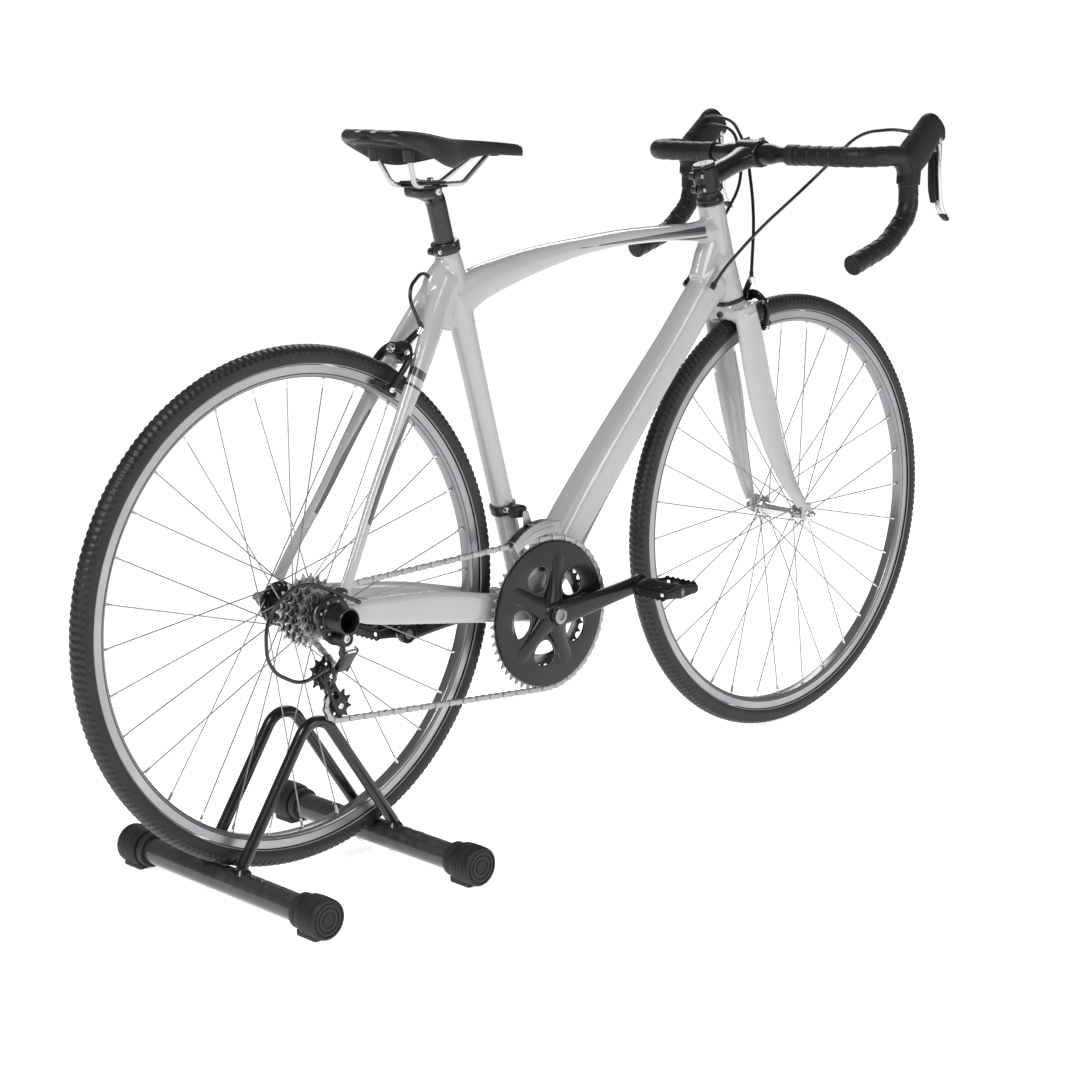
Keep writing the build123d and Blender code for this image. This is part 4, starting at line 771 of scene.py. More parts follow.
def buildFork():
    clay = Clay()
    foot = headLow - steerUp * forkShape["length"]
    for s in (-1, 1):
        rows = []
        for up, y, ahead, wide, deep in forkShape["blade"]:
            spot = foot + steerUp * up + steerFront * ahead * mm + across * s * y * mm
            rows.append((spot.x, spot.y, spot.z, wide * mm, deep * mm))
        clay.add(*limb(rows, power=2.3, steps=7, count=32))
        drop = [(-0.012, 0.020), (0.009, 0.020), (0.0115, 0.0), (0.008, -0.0095), (-0.008, -0.0095),
            (-0.0115, 0.0)]
        tips = plate([[(frontAxle.x + x, frontAxle.z + z) for x, z in rounded(drop, 0.004)]], 0.0068,
            0.001, sidePlane(s * 0.053))
        clay.add(*tips)
    crown = []
    for y, drop, deep, high in ((-34, 14, 19, 11), (-26, 6, 22, 14), (-12, 1, 23, 15), (0, 0, 23.5, 15),
            (12, 1, 23, 15), (26, 6, 22, 14), (34, 14, 19, 11)):
        spot = foot + steerUp * (0.3445 - drop * mm) + across * y * mm
        crown.append((spot.x, spot.y, spot.z, high * mm, deep * mm))
    clay.add(*limb(crown, power=2.6, steps=5, count=32, wide=steerUp))
    crownTop = foot + steerUp * forkShape["crown"]
    clay.add(*turned(crownTop, steerUp, [(0, 23.6), (13.5, 23.6)], 48))
    mesh = clay.fused(0.0019, passes=6)
    for v in mesh.vertices:  # room for the tyre under the crown
        away = Vector((v.co.x - frontAxle.x, 0, v.co.z - frontAxle.z))
        if abs(v.co.y) < 0.0195 and away.length < forkShape["tyreRoom"] and away.z > 0.2:
            push = away.normalized() * forkShape["tyreRoom"]
            v.co.x, v.co.z = frontAxle.x + push.x, frontAxle.z + push.z
    layer = mesh.attributes.new("sweepEdge", "FLOAT", "POINT")
    layer.data.foreach_set("value", [50.0] * len(mesh.vertices))
    wearPiece("fork_skin", mesh, "steering", framePaint, ("fork",), angle=60)
    kit = Kit()
    kit.add(bolt(crownTop + steerFront * 0.022, steerFront, 0.0062, 0.004))
    kit.add(turned(crownTop - steerFront * 0.0245, -steerFront, [(0, 5.2), (2, 5.2), (2, 3), (0.5, 3)],
        24), 1)
    kit.build("crown_bolts", "steering", [steel, blackMetal])


buildFork()
print("fork skinned")

tyreShape = {"out": 0.343, "section": 0.016, "bead": 0.3192, "ribs": 216, "treadHalf": 49, "knobHalf": 65,
    "wallFrom": 66, "thick": 0.0034}
rimShape = {"out": 0.317, "in": 0.3005, "half": 0.010}


def buildTyre(axle, name, body):
    centre = tyreShape["out"] - tyreShape["section"]
    steps = tyreShape["ribs"] * 4
    angles = [-37, -30, -20, -6, 6, 14, 21, 25.5, 26, 31, 36, 41, 41.6, 47, 53, 60, 68, 76, 83, 90]
    angles += [180 - a for a in angles[-2::-1]]
    rows = []
    for k in range(steps):
        turn = 2 * pi * k / steps
        phase = k % 4
        row = []
        for a in angles:
            tilt = abs(90 - a)
            lift = 0.0
            if tilt < tyreShape["treadHalf"]:  # transverse ribs, offset from side to side
                shift = phase if a <= 90 else (phase + 2) % 4
                lift = -0.0011 if shift in (0, 1) and tilt > 4 else 0.0
                if tilt <= 4:
                    lift = -0.0003
            elif tilt < tyreShape["knobHalf"]:  # shoulder knobs
                lift = 0.0 if phase in (1, 2) else -0.0013
            else:
                lift = -0.0011
            r = tyreShape["section"] + lift
            row.append(Vector((axle.x + (centre + r * sin(radians(a))) * cos(turn), r * cos(radians(a)),
                axle.z + (centre + r * sin(radians(a))) * sin(turn))))
        inner = []
        for a in (210, 180, 90, 0, -30):
            r = tyreShape["section"] - tyreShape["thick"]
            inner.append(Vector((axle.x + (centre + r * sin(radians(a))) * cos(turn), r * cos(radians(a)),
                axle.z + (centre + r * sin(radians(a))) * sin(turn))))
        rows.append(row + inner)
    verts, faces = rings(rows, closed=True)

    def which(c, n):
        away = hypot(c.x - axle.x, c.z - axle.z)
        if away < tyreShape["bead"]:
            return 2
        return 0 if away > centre and abs(atan2(abs(c.y),
            away - centre)) < radians(tyreShape["wallFrom"]) else 1

    piece(name, verts, faces, body, [rubberTread, rubberWall, beadGrey],
        (name.replace("_skin", ""),), angle=28, indices=which)


def buildRim(axle, name, body):
    out, inn, half = rimShape["out"], rimShape["in"], rimShape["half"]
    profile = [(-half, out), (-half, out - 0.0012), (-half, out - 0.0105), (-half + 0.0004, out - 0.0109),
        (-half + 0.0004, out - 0.0117), (-half, out - 0.0121), (-half + 0.0004, inn + 0.003),
        (-half + 0.0022, inn + 0.0005), (-half + 0.004, inn), (0, inn - 0.0001), (half - 0.004, inn),
        (half - 0.0022, inn + 0.0005), (half - 0.0004, inn + 0.003), (half, out - 0.0121),
        (half - 0.0004, out - 0.0117), (half - 0.0004, out - 0.0109), (half, out - 0.0105),
        (half, out - 0.0012), (half, out), (half - 0.0015, out), (half - 0.0022, out - 0.003),
        (half - 0.0026, out - 0.0058), (0, out - 0.0065), (-half + 0.0026, out - 0.0058),
        (-half + 0.0022, out - 0.003), (-half + 0.0015, out)]
    verts, faces = lathe((axle.x, 0, axle.z), across, profile, 256, closed=True)

    def which(c, n):
        away = hypot(c.x - axle.x, c.z - axle.z)
        if abs(c.y) > half - 0.0008 and away > out - 0.0106:
            return 1
        if abs(c.y) > half - 0.0008 and away > out - 0.0121:
            return 2
        return 0

    piece(name, verts, faces, body, [rimAlloy, brakeTrack, rimGroove],
        (name.replace("_skin", ""),), angle=40, indices=which)


spoke = {"count": 32, "nipple": 0.3002, "thick": 0.001}


def buildSpokes(axle, flangeY, flangeR, cross, name, body):
    kit = Kit()
    for k in range(spoke["count"]):
        s = -1 if k % 2 else 1
        y = flangeY[1] if s > 0 else flangeY[0]
        lean = 1 if (k // 2) % 2 else -1
        rimTurn = 2 * pi * k / spoke["count"]
        hubTurn = rimTurn + lean * cross * 2 * pi / 16
        face = s * (2.8 * mm + abs(y) * 0.048) if lean > 0 else -s * 2.8 * mm
        head = Vector((axle.x + flangeR * cos(hubTurn), y + face, axle.z + flangeR * sin(hubTurn)))
        tip = Vector((axle.x + spoke["nipple"] * cos(rimTurn), s * 0.0015,
            axle.z + spoke["nipple"] * sin(rimTurn)))
        way = (tip - head).normalized()
        bend = head - Vector((0, face * 0.55, 0))
        elbow = (bend - Vector((0, face * 0.7, 0)), bend, head + way * 0.0022, head + way * 0.01)
        kit.add(limb([(*q, spoke["thick"], spoke["thick"]) for q in elbow], count=8, steps=3))
        long = (tip - head).length
        kit.add(lathe(head + way * 0.008, way, [(0, 0.001), (0.012, 0.001), (0.02, 0.0009),
            (long - 0.025, 0.0009), (long - 0.02, 0.00095)], 10))
        kit.add(turned(tip - way * 0.0125, way, [(0, 1.2), (0.8, 1.75), (9, 1.75), (9.4, 2.2),
            (12.4, 2.2)], 12), 1)
        kit.add(turned(Vector((head.x, y - face * 1.15, head.z)), Vector((0, face, 0)),
            [(0, 0.6), (0.4, 1.6), (1, 1.8)], 10))
    kit.build(name, body, [spokeSteel, brightAlloy], (name.replace("_skin", ""),), angle=50)


def buildFrontHub():
    kit = Kit()
    barrel = [(-0.041, 0.0062), (-0.0405, 0.0088), (-0.0385, 0.0095), (-0.0378, 0.0125),
        (-0.0373, 0.0188), (-0.0366, 0.0193), (-0.0349, 0.0193), (-0.0343, 0.0188), (-0.0338, 0.014),
        (-0.0318, 0.0108), (-0.026, 0.0092), (0, 0.0086)]
    barrel += [(-a, r) for a, r in barrel[-2::-1]]
    kit.add(lathe((frontAxle.x, 0, frontAxle.z), across, barrel, 64))
    for s in (-1, 1):
        side = (frontAxle.x, s * 0.0412, frontAxle.z)
        kit.add(turned(side, across * s, [(0, 7.2), (1.5, 7.8), (4.2, 7.8), (4.6, 6), (8.4, 6)], 32), 1)
    kit.build("front_hub_skin", "front_wheel", [brightAlloy, steel], ("front_hub",),
        angle=40)


def buildRearHub():
    kit = Kit()
    barrel = [(-0.0207, 0.016), (-0.0205, 0.0182), (-0.0178, 0.0184), (-0.0175, 0.0286),
        (-0.0171, 0.0291), (-0.0145, 0.0291), (-0.0141, 0.0286), (-0.0138, 0.021), (-0.0118, 0.0184),
        (-0.006, 0.0176), (0.026, 0.0176), (0.0325, 0.0186), (0.0341, 0.021), (0.0343, 0.0286),
        (0.0347, 0.0291), (0.0373, 0.0291), (0.0377, 0.0286), (0.0379, 0.018), (0.0405, 0.0172),
        (0.041, 0.015)]
    kit.add(lathe((rearAxle.x, 0, rearAxle.z), across, barrel, 72))
    for y in (-0.0158, 0.036):
        start = 0 if y > 0 else 2 * pi / 32
        for k in range(16):
            turn = start + 2 * pi * k / 16
            for way in (-1, 1):
                spot = Vector((rearAxle.x + 0.025 * cos(turn), y + way * 0.00155,
                    rearAxle.z + 0.025 * sin(turn)))
                kit.add(turned(spot, across * way, [(0, 2.1), (0.3, 1.9), (0.3, 1.3), (0.1, 1.2)], 10), 1)
    kit.build("rear_hub_skin", "rear_wheel", [blackMetal, spokeSteel], ("rear_hub",),
        angle=40)


for axle, end in ((frontAxle, "front"), (rearAxle, "rear")):
    buildTyre(axle, end + "_tyre_skin", end + "_wheel")
    buildRim(axle, end + "_rim_skin", end + "_wheel")
buildSpokes(frontAxle, (-0.036, 0.036), 0.015, 2, "front_spokes_skin", "front_wheel")
buildSpokes(rearAxle, (-0.0158, 0.036), 0.025, 3, "rear_spokes_skin", "rear_wheel")
buildFrontHub()
buildRearHub()
print("wheels built")

rack = {"tube": 0.018, "spread": 0.129, "half": 0.193, "axis": 0.0265, "loop": 0.008, "gap": 0.034,
    "low": 0.0325, "rise": 0.0485, "peak": 0.2406}


def buildRack():
    kit = Kit()
    for s in (-1, 1):
        x = rearAxle.x + s * rack["spread"]
        skin = [(-rack["half"], 0.0155), (-rack["half"], rack["tube"]), (rack["half"], rack["tube"]),
            (rack["half"], 0.0155)]
        kit.add(lathe((x, 0, rack["axis"]), across, skin, 64))
        for side in (-1, 1):
            for y, wide, long in ((61, 5.2, 7.2), (86, 5.2, 7.2), (118, 2.4, 4.6)):
                hole = [(wide * mm * cos(a * pi / 12), long * mm * sin(a * pi / 12)) for a in range(24)]
                rows = []
                for grow, drop in ((1.25, -0.0002), (1.12, 0.0005), (0.98, 0.0003), (0.94, -0.0016)):
                    row = []
                    for hx, hy in hole:
                        hx, hy = hx * grow, hy * grow
                        up = sqrt(rack["tube"] ** 2 - hx ** 2) + drop
                        row.append(Vector((x + hx, side * y * mm + hy, rack["axis"] + up)))
                    rows.append(row)
                kit.add(rings(rows, cap=False))
                kit.add((rows[-1], [list(range(24))]), 1)
    kit.build("foot_tubes_skin", "rack", [rackPaint, rimGroove], ("foot_tubes",), angle=40)
    kit = Kit()
    for y in (-rack["gap"], rack["gap"]):
        low, rise, crown = rack["low"], rack["rise"], rack["peak"]
        corners = [Vector((rearAxle.x - rack["spread"], y, low)), Vector((rearAxle.x - rack["spread"], y,
            rise)), Vector((rearAxle.x, y, crown)), Vector((rearAxle.x + rack["spread"], y, rise)),
            Vector((rearAxle.x + rack["spread"], y, low))]
        path = filletPath(corners, [0.009, 0.030, 0.009], 0.003)
        kit.add(sweepAlong(path, lambda d, a: rack["loop"], 28, Vector((0, 1, 0))))
        for s in (-1, 1):
            x = rearAxle.x + s * rack["spread"]
            # weld fillet at the foot, and the domed nut below
            kit.add(lathe((x, y, rack["axis"] + rack["tube"] - 0.002), (0, 0, 1),
                [(0, 0.0128), (0.002, 0.0118), (0.0045, 0.0096), (0.0068, 0.0081)], 28, spread=lambda a,
                r, k: 0.0005 * noise(Vector((k * 0.9, a * 900, y * 50)))))
            kit.add(turned((x, y, rack["axis"] - rack["tube"] + 0.0002), (0, 0, -1),
                [(0, 6.8), (0.8, 6.8), (0.8, 5.8), (3.2, 5.6), (4.2, 4.4), (4.8, 1)], 6), 1)
    kit.build("wheel_loops_skin", "rack", [rackPaint, brightAlloy], ("wheel_loops",),
        angle=40)
    kit = Kit()
    for s in (-1, 1):
        x = rearAxle.x + s * rack["spread"]
        for side in (-1, 1):
            start = Vector((x, side * 0.156, rack["axis"]))
            collar = [(-0.0, 0.0183), (0.0, 0.0222), (0.0015, 0.0232), (0.010, 0.0232), (0.0115, 0.0222),
                (0.0118, 0.0215), (0.0135, 0.0215), (0.014, 0.0245), (0.0185, 0.0262), (0.0225, 0.0265),
                (0.047, 0.0265), (0.0505, 0.0258), (0.0518, 0.0242), (0.0519, 0.0225), (0.0508, 0.0222),
                (0.0508, 0.0205), (0.0519, 0.0202), (0.0519, 0.0168), (0.0509, 0.0165), (0.0509, 0.0148),
                (0.0519, 0.0145), (0.0519, 0.0105), (0.051, 0.0102), (0.051, 0.0085), (0.0519, 0.0082),
                (0.052, 0.001)]
            verts, faces = lathe(start, across * side, collar, 64)
            for v in verts:  # flattened underside that stands on the floor
                v.z = max(v.z, 0.0004)
            kit.add((verts, faces))
            foot = plate([rounded([(-0.017, -0.017), (0.017, -0.017), (0.017, 0.021), (-0.017, 0.021)],
                0.004)], 0.008, 0.001, Matrix.Translation((x, side * 0.184, 0.0041)))
            kit.add(foot, 0)
            for k in range(3):  # grip grooves round the rear of the cap
                ring = [(0.0255 + k * 0.006, 0.0263), (0.0258 + k * 0.006, 0.0269),
                    (0.0278 + k * 0.006, 0.0269), (0.0281 + k * 0.006, 0.0263)]
                verts, faces = lathe(start, across * side, ring, 64)
                for v in verts:
                    v.z = max(v.z, 0.0005)
                kit.add((verts, faces))
    kit.build("foot_caps_skin", "rack", [capPlastic], ("foot_caps",), angle=40)


buildRack()
print("rack built")


def buildPost():
    kit = Kit()
    shoulder = seatTop + seatUp * 0.058
    head = shoulder + Vector((-0.022, 0, 0.020))
    kit.add(turned(seatTop - seatUp * 0.118, seatUp, [(0, 13.6), (176, 13.6)], 48))
    clay = Clay()
    clay.add(*turned(shoulder - seatUp * 0.0030, seatUp, [(0, 13.5), (3, 13.5)], 32))
    clay.add(*limb([(*(shoulder - seatUp * 0.001), 0.0132, 0.0132),
        (*(shoulder + Vector((-0.006, 0, 0.009))), 0.0132, 0.0132), (*(head + Vector((0.002, 0, -0.006))),
        0.0135, 0.0115), (*(head + Vector((-0.004, 0, 0.001))), 0.016, 0.010)], power=2.4))
    clay.add(*limb([(head.x, -0.0295, head.z - 0.004, 0.0085, 0.0095),
        (head.x, 0, head.z - 0.004, 0.0105, 0.0115), (head.x, 0.0295, head.z - 0.004, 0.0085, 0.0095)],
        wide=Vector((1, 0, 0)), power=2.8))
    mesh = clay.fused(0.0013, passes=5)
    wearPiece("post_head", mesh, "seat", blackMetal, angle=60)
    for low, high, grow in ((0.0005, 0.0038, 1.0), (0.0046, 0.0086, 0.94)):
        clamp = rounded([(-0.021, -0.029), (0.021, -0.029), (0.021, 0.029), (-0.021, 0.029)], 0.006)
        kit.add(plate([[(x * grow, y * grow) for x, y in clamp]], high - low, 0.0011,
            Matrix.Translation((head.x, 0, head.z + (low + high) / 2))))
    for x in (-0.013, 0.013):
        kit.add(bolt(Vector((head.x + x, 0, head.z + 0.0085)), (0, 0, 1), 0.0045, 0.004), 1)
    kit.add(bolt(Vector((head.x, -0.0295, head.z - 0.004)), (0, -1, 0), 0.0052, 0.0028), 1)
    kit.add(bolt(Vector((head.x, 0.0295, head.z - 0.004)), (0, 1, 0), 0.0052, 0.0028), 1)
    kit.build("seatpost_skin", "seat", [blackMetal, steel], ("seatpost",), angle=40)
    kit = Kit()
    ring = [(-0.0125, 0.0163), (-0.0125, 0.0186), (-0.0115, 0.0196), (-0.0045, 0.0197), (-0.004, 0.0192),
        (-0.0032, 0.0192), (-0.0027, 0.0198), (0.0015, 0.0196), (0.0028, 0.0186), (0.0032, 0.0165),
        (0.0032, 0.0139)]
    kit.add(lathe(seatTop, seatUp, ring, 56))
    rear = seatTop - seatUp * 0.005 - Vector((seatUp.z, 0, -seatUp.x)) * 0.0205
    for side in (-1, 1):
        kit.add(turned(rear + across * side * 0.0012, across * side,
            [(0, 4.6), (0.4, 5.2), (7.8, 5.2), (8.5, 4.4)], 24))
    kit.add(bolt(rear - across * 0.0096, -across, 0.0036, 0.0026), 1)
    kit.build("seat_clamp_skin", "frame", [blackMetal, steel], ("seat_clamp",), angle=40)
    return head


saddle = {"length": 0.276, "wing": 1.08, "crown": [(0.0, 44, 10, -3, 8), (0.03, 57, 14, 0, 15),
    (0.09, 66, 17, 1.5, 24), (0.18, 71, 19, 1, 33), (0.28, 69, 20, -1.5, 42), (0.38, 58, 20, -3, 43),
    (0.48, 41, 18, -3, 35), (0.6, 29, 16, -2.5, 25), (0.75, 22.5, 14, -2, 19), (0.9, 20, 13, -2.5, 17),
    (0.97, 15.5, 11, -4.5, 14), (1.0, 6, 6, -8, 7)]}


def buildSaddle(head):
    tail = head + Vector((-0.098, 0, 0.0795))
    rows = through([list(r) for r in saddle["crown"]], 6)
    skin, wing = [], saddle["wing"]
    for t, half, crown, lift, drop in rows:
        t = min(max(t, 0), 1)
        x = tail.x + t * saddle["length"] * 0.996
        z = tail.z - t * 0.028 + lift * mm
        half, crown, drop = half * mm, crown * mm, drop * mm
        row = []
        for k in range(33):  # over the top from the right wing to the left
            u = -1 + 2 * k / 32
            a = abs(u)
            y = half * (sin(a * pi / 2 * wing) / sin(pi / 2 * wing) if a < 0.93 else 1 - (a - 0.93)
                * 0.12) * (1 if u > 0 else -1)
            dish = 0.0022 * (1 - min(a / 0.28, 1) ** 2) * (1 - abs(t - 0.45) ** 1.5) if t > 0.05 else 0
            fall = crown * 0.34 * a ** 2.2 + max(0, a - 0.62) ** 1.6 / 0.38 ** 1.6 * (drop - crown * 0.3)
            row.append(Vector((x, y, z - dish - fall)))
        for k in range(1, 16):  # back across the hollow underside
            u = 1 - 2 * k / 16
            a = abs(u)
            y = half * u * 0.95
            edge = crown * 0.34 + (drop - crown * 0.3)
            depth = min(edge, 0.0115 + (edge - 0.0115) * max(0, (a
                - 0.78) / 0.22) ** 1.2) if edge > 0.0115 else edge
            row.append(Vector((x, y, z - depth - 0.0015)))
        skin.append(row)
    verts, faces = rings(skin)
    thing = scratch(verts, faces)
    mesh = baked(thing, ("SUBSURF", {"levels": 1, "render_levels": 1}))
    discard(thing)
    length = saddle["length"]

    def which(c, n):
        t = (c.x - tail.x) / length
        if n.z < -0.25 and abs(c.y) < 0.06:
            return 2
        if n.z > 0.15 and t < 0.36 and abs(abs(c.y) - (0.0115 + 0.02 * max(0,
                0.2 - t))) < 0.0052 - 0.010 * max(0, t - 0.1):
            return 1
        return 0

    cover = wearPiece("saddle_cover", mesh, "seat",
        [saddleCover, saddlePanel, saddleShell], ("saddle",), angle=70, indices=which)
    kit = Kit()
    # stitched seam lines that follow the crown, and the bumper across the tail
    for side in (-1, 1):
        line = []
        for t, half, crown, lift, drop in rows[5:-8:2]:
            t = min(max(t, 0), 1)
            a = 0.6
            y = side * half * mm * sin(a * pi / 2 * wing) / sin(pi / 2 * wing)
            line.append(Vector((tail.x + t * length * 0.996, y, tail.z - t * 0.028 + lift * mm - crown
                * mm * 0.34 * a ** 2.2 + 0.0002)))
        kit.add(hose(line, 0.0007, 2))
    tailBar = []
    for k in range(9):
        u = -1 + k / 4
        tailBar.append((tail.x + 0.004 + 0.014 * abs(u) ** 2.4, u * 0.044, tail.z - 0.012 - 0.004 * u * u,
            0.0042, 0.0062))
    kit.add(limb(tailBar, power=2.6, steps=3, wide=Vector((1, 0, 0))), 1)
    kit.build("saddle_trim", "seat", [saddleShell, blackPlastic])
    railKit = Kit()
    z = head.z + 0.004
    for s in (-1, 1):
        corners = [Vector((head.x - 0.054, s * 0.034, z + 0.044)), Vector((head.x - 0.034, s * 0.022, z)),
            Vector((head.x + 0.052, s * 0.022, z)), Vector((head.x + 0.122, s * 0.009, z + 0.044))]
        path = filletPath(corners, [0.014, 0.022], 0.003)
        railKit.add(sweepAlong(path, lambda d, a: 0.0035, 20))
        for end in (corners[0], corners[-1]):
            railKit.add(limb([(end.x, end.y, end.z - 0.012, 0.0062, 0.0062),
                (end.x, end.y, end.z + 0.004, 0.0075, 0.0085)], count=20), 1)
    railKit.build("saddle_rails_skin", "seat", [steel, saddleShell], ("saddle_rails",))


postHead = buildPost()
buildSaddle(postHead)
print("post and saddle built")

bar = {"half": 0.216, "r": 0.0119, "swell": 0.0159, "tape": 0.0154, "pitch": 0.0205, "tapeEnd": 0.074,
    "side": [(-24, -153), (53, -130), (106, -86), (101, 0), (0, 0)], "bends": [0.090, 0.045, 0.038, 0.048]}


def barCorners(s):
    return [Vector((barCentre.x + x * mm, s * bar["half"], barCentre.z + z * mm)) for x, z in bar["side"]]


def buildBar():
    right, left = barCorners(-1), barCorners(1)
    path = filletPath(right + left[::-1], bar["bends"] + bar["bends"][::-1], 0.004)
    middle = path[-1][2] / 2

    def thick(d, a):
        off = abs(d - middle)
        t = min(max((off - 0.034) / 0.026, 0), 1)
        return bar["swell"] + (bar["r"] - bar["swell"]) * t * t * (3 - 2 * t)

    kit = Kit()
    kit.add(sweepAlong(path, thick, 36))
    kit.build("handlebar_skin", "steering", [blackMetal], ("handlebar",))
    kit = Kit()
    for s in (-1, 1):
        corners = barCorners(s)[:4] + [Vector((barCentre.x, s * bar["half"], barCentre.z)),
            Vector((barCentre.x, s * bar["tapeEnd"], barCentre.z))]
        path = filletPath(corners, bar["bends"], 0.0012)

        def wrap(d, a, s=s):
            turn = (d / bar["pitch"] + s * a / (2 * pi)) % 1.0
            lip = min(turn / 0.05, 1.0)  # raised lip of each turn, then a slow fall
            soft = 0.00012 * noise(Vector((d * 160, cos(a) * 2, sin(a) * 2 + s * 9)))
            return bar["tape"] - 0.0012 + 0.0011 * lip * (1 - turn) ** 0.8 + soft

        kit.add(sweepAlong(path, wrap, 40))
        end = Vector((barCentre.x, s * bar["tapeEnd"], barCentre.z))
        kit.add(turned(end + across * s * 0.016, -across * s, [(0, 14.6), (0, 15.7), (16.5, 15.7),
            (17.2, 15.3), (17.8, 12.2)], 40), 1)
        low, nextOne = corners[0], corners[1]
        out = (low - nextOne).normalized()
        kit.add(turned(low - out * 0.001, out, [(0, 14.6), (1, 15.2), (3, 15.3), (4.8, 14.2), (5.6, 11),
            (5.8, 4), (5.2, 1)], 36), 1)
    kit.build("bar_tape_skin", "steering", [tapeWrap, blackPlastic], ("bar_tape",), angle=24)


hood = {"spine": [(90, -16, 17, 25), (104, -8, 17.5, 25), (118, 2, 17, 26), (132, 14, 16.5, 25),
    (146, 28, 15.5, 23), (157, 42, 14, 20), (164, 50, 12.5, 14)]}


def buildHoods():
    clay = Clay()
    for s in (-1, 1):
        y = s * bar["half"]
        rows = [(barCentre.x + x * mm, y, barCentre.z + z * mm, w * mm, d * mm) for x, z, w,
            d in hood["spine"]]
        clay.add(*limb(rows, power=2.7, steps=6, count=36))
        # flat front block that carries the lever, and the collar on the bar
        block = [(barCentre.x + x * mm, y, barCentre.z + z * mm, w * mm, d * mm) for x, z, w,
            d in ((172, 16, 11, 13), (165, 30, 13.5, 17), (158, 44, 12, 14))]
        clay.add(*limb(block, power=3.2, steps=4, count=32))
        rise = [(barCentre.x + x * mm, y, barCentre.z + z * mm, 17.2 * mm, 17.4 * mm) for x,
            z in ((103, -44), (105, -20), (104, 4))]
        clay.add(*limb(rise, power=2.2, steps=5, count=32))
    mesh = clay.fused(0.0016, passes=6)
    for v in mesh.vertices:
        bump = 0.00035 * noise(v.co * 130)
        v.co.z += bump
    wearPiece("brake_hoods_skin", mesh, "steering", hoodRubber, ("brake_hoods",), angle=70)
    kit = Kit()
    for s in (-1, 1):
        y = s * bar["half"]
        for side in (-1, 1):
            kit.add(bolt(Vector((barCentre.x + 0.164, y + side * 0.0128, barCentre.z + 0.019)),
                across * side, 0.0042, 0.0014, False))
    kit.build("hood_fittings", "steering", [steel])


lever = {"front": [(172, 16, 7.6, 5.2), (172.5, 4, 8.2, 4.6), (171.5, -16, 8.6, 3.6),
    (172.5, -36, 8.4, 3.3), (175, -56, 8, 3.2), (180, -76, 7.6, 3.1), (188, -90, 7.2, 3),
    (198, -99.5, 6.4, 2.6), (202, -102.5, 4.2, 1.7)], "paddle": [(164.4, 0, 5.4, 1.4),
    (164.2, -14, 6.2, 1.5), (164.4, -36, 6.3, 1.5), (165.8, -56, 6.2, 1.5), (170.5, -74.5, 5.2, 1.3)]}


def buildLevers():
    for s, name in ((-1, "right"), (1, "left")):
        y = s * bar["half"]
        rows = [(barCentre.x + x * mm, y, barCentre.z + z * mm, w * mm, d * mm) for x, z, w,
            d in lever["front"]]
        kit = Kit()
        kit.add(limb(rows, power=3.0, steps=7, count=28))
        kit.add(turned(Vector((barCentre.x + 0.170, y - 0.0083, barCentre.z + 0.0165)), across,
            [(0, 3), (0, 3.6), (16.6, 3.6), (16.6, 3)], 24), 1)
        thing = kit.build("brake_lever_%s_skin" % name, "lever_" + name,
            [brightAlloy, darkSteel, blackPlastic], ("brake_lever_" + name,), angle=50)
        for polygon in thing.data.polygons:  # dark tip
            if polygon.center.z < barCentre.z - 0.092:
                polygon.material_index = 2
        rows = [(barCentre.x + x * mm, y - s * 0.003, barCentre.z + z * mm, w * mm, d * mm) for x, z, w,
            d in lever["paddle"]]
        kit = Kit()
        kit.add(limb(rows, power=2.6, steps=6, count=24))
        kit.build("shift_paddle_%s_skin" % name, "paddle_" + name, [blackPlastic],
            ("shift_paddle_" + name,))


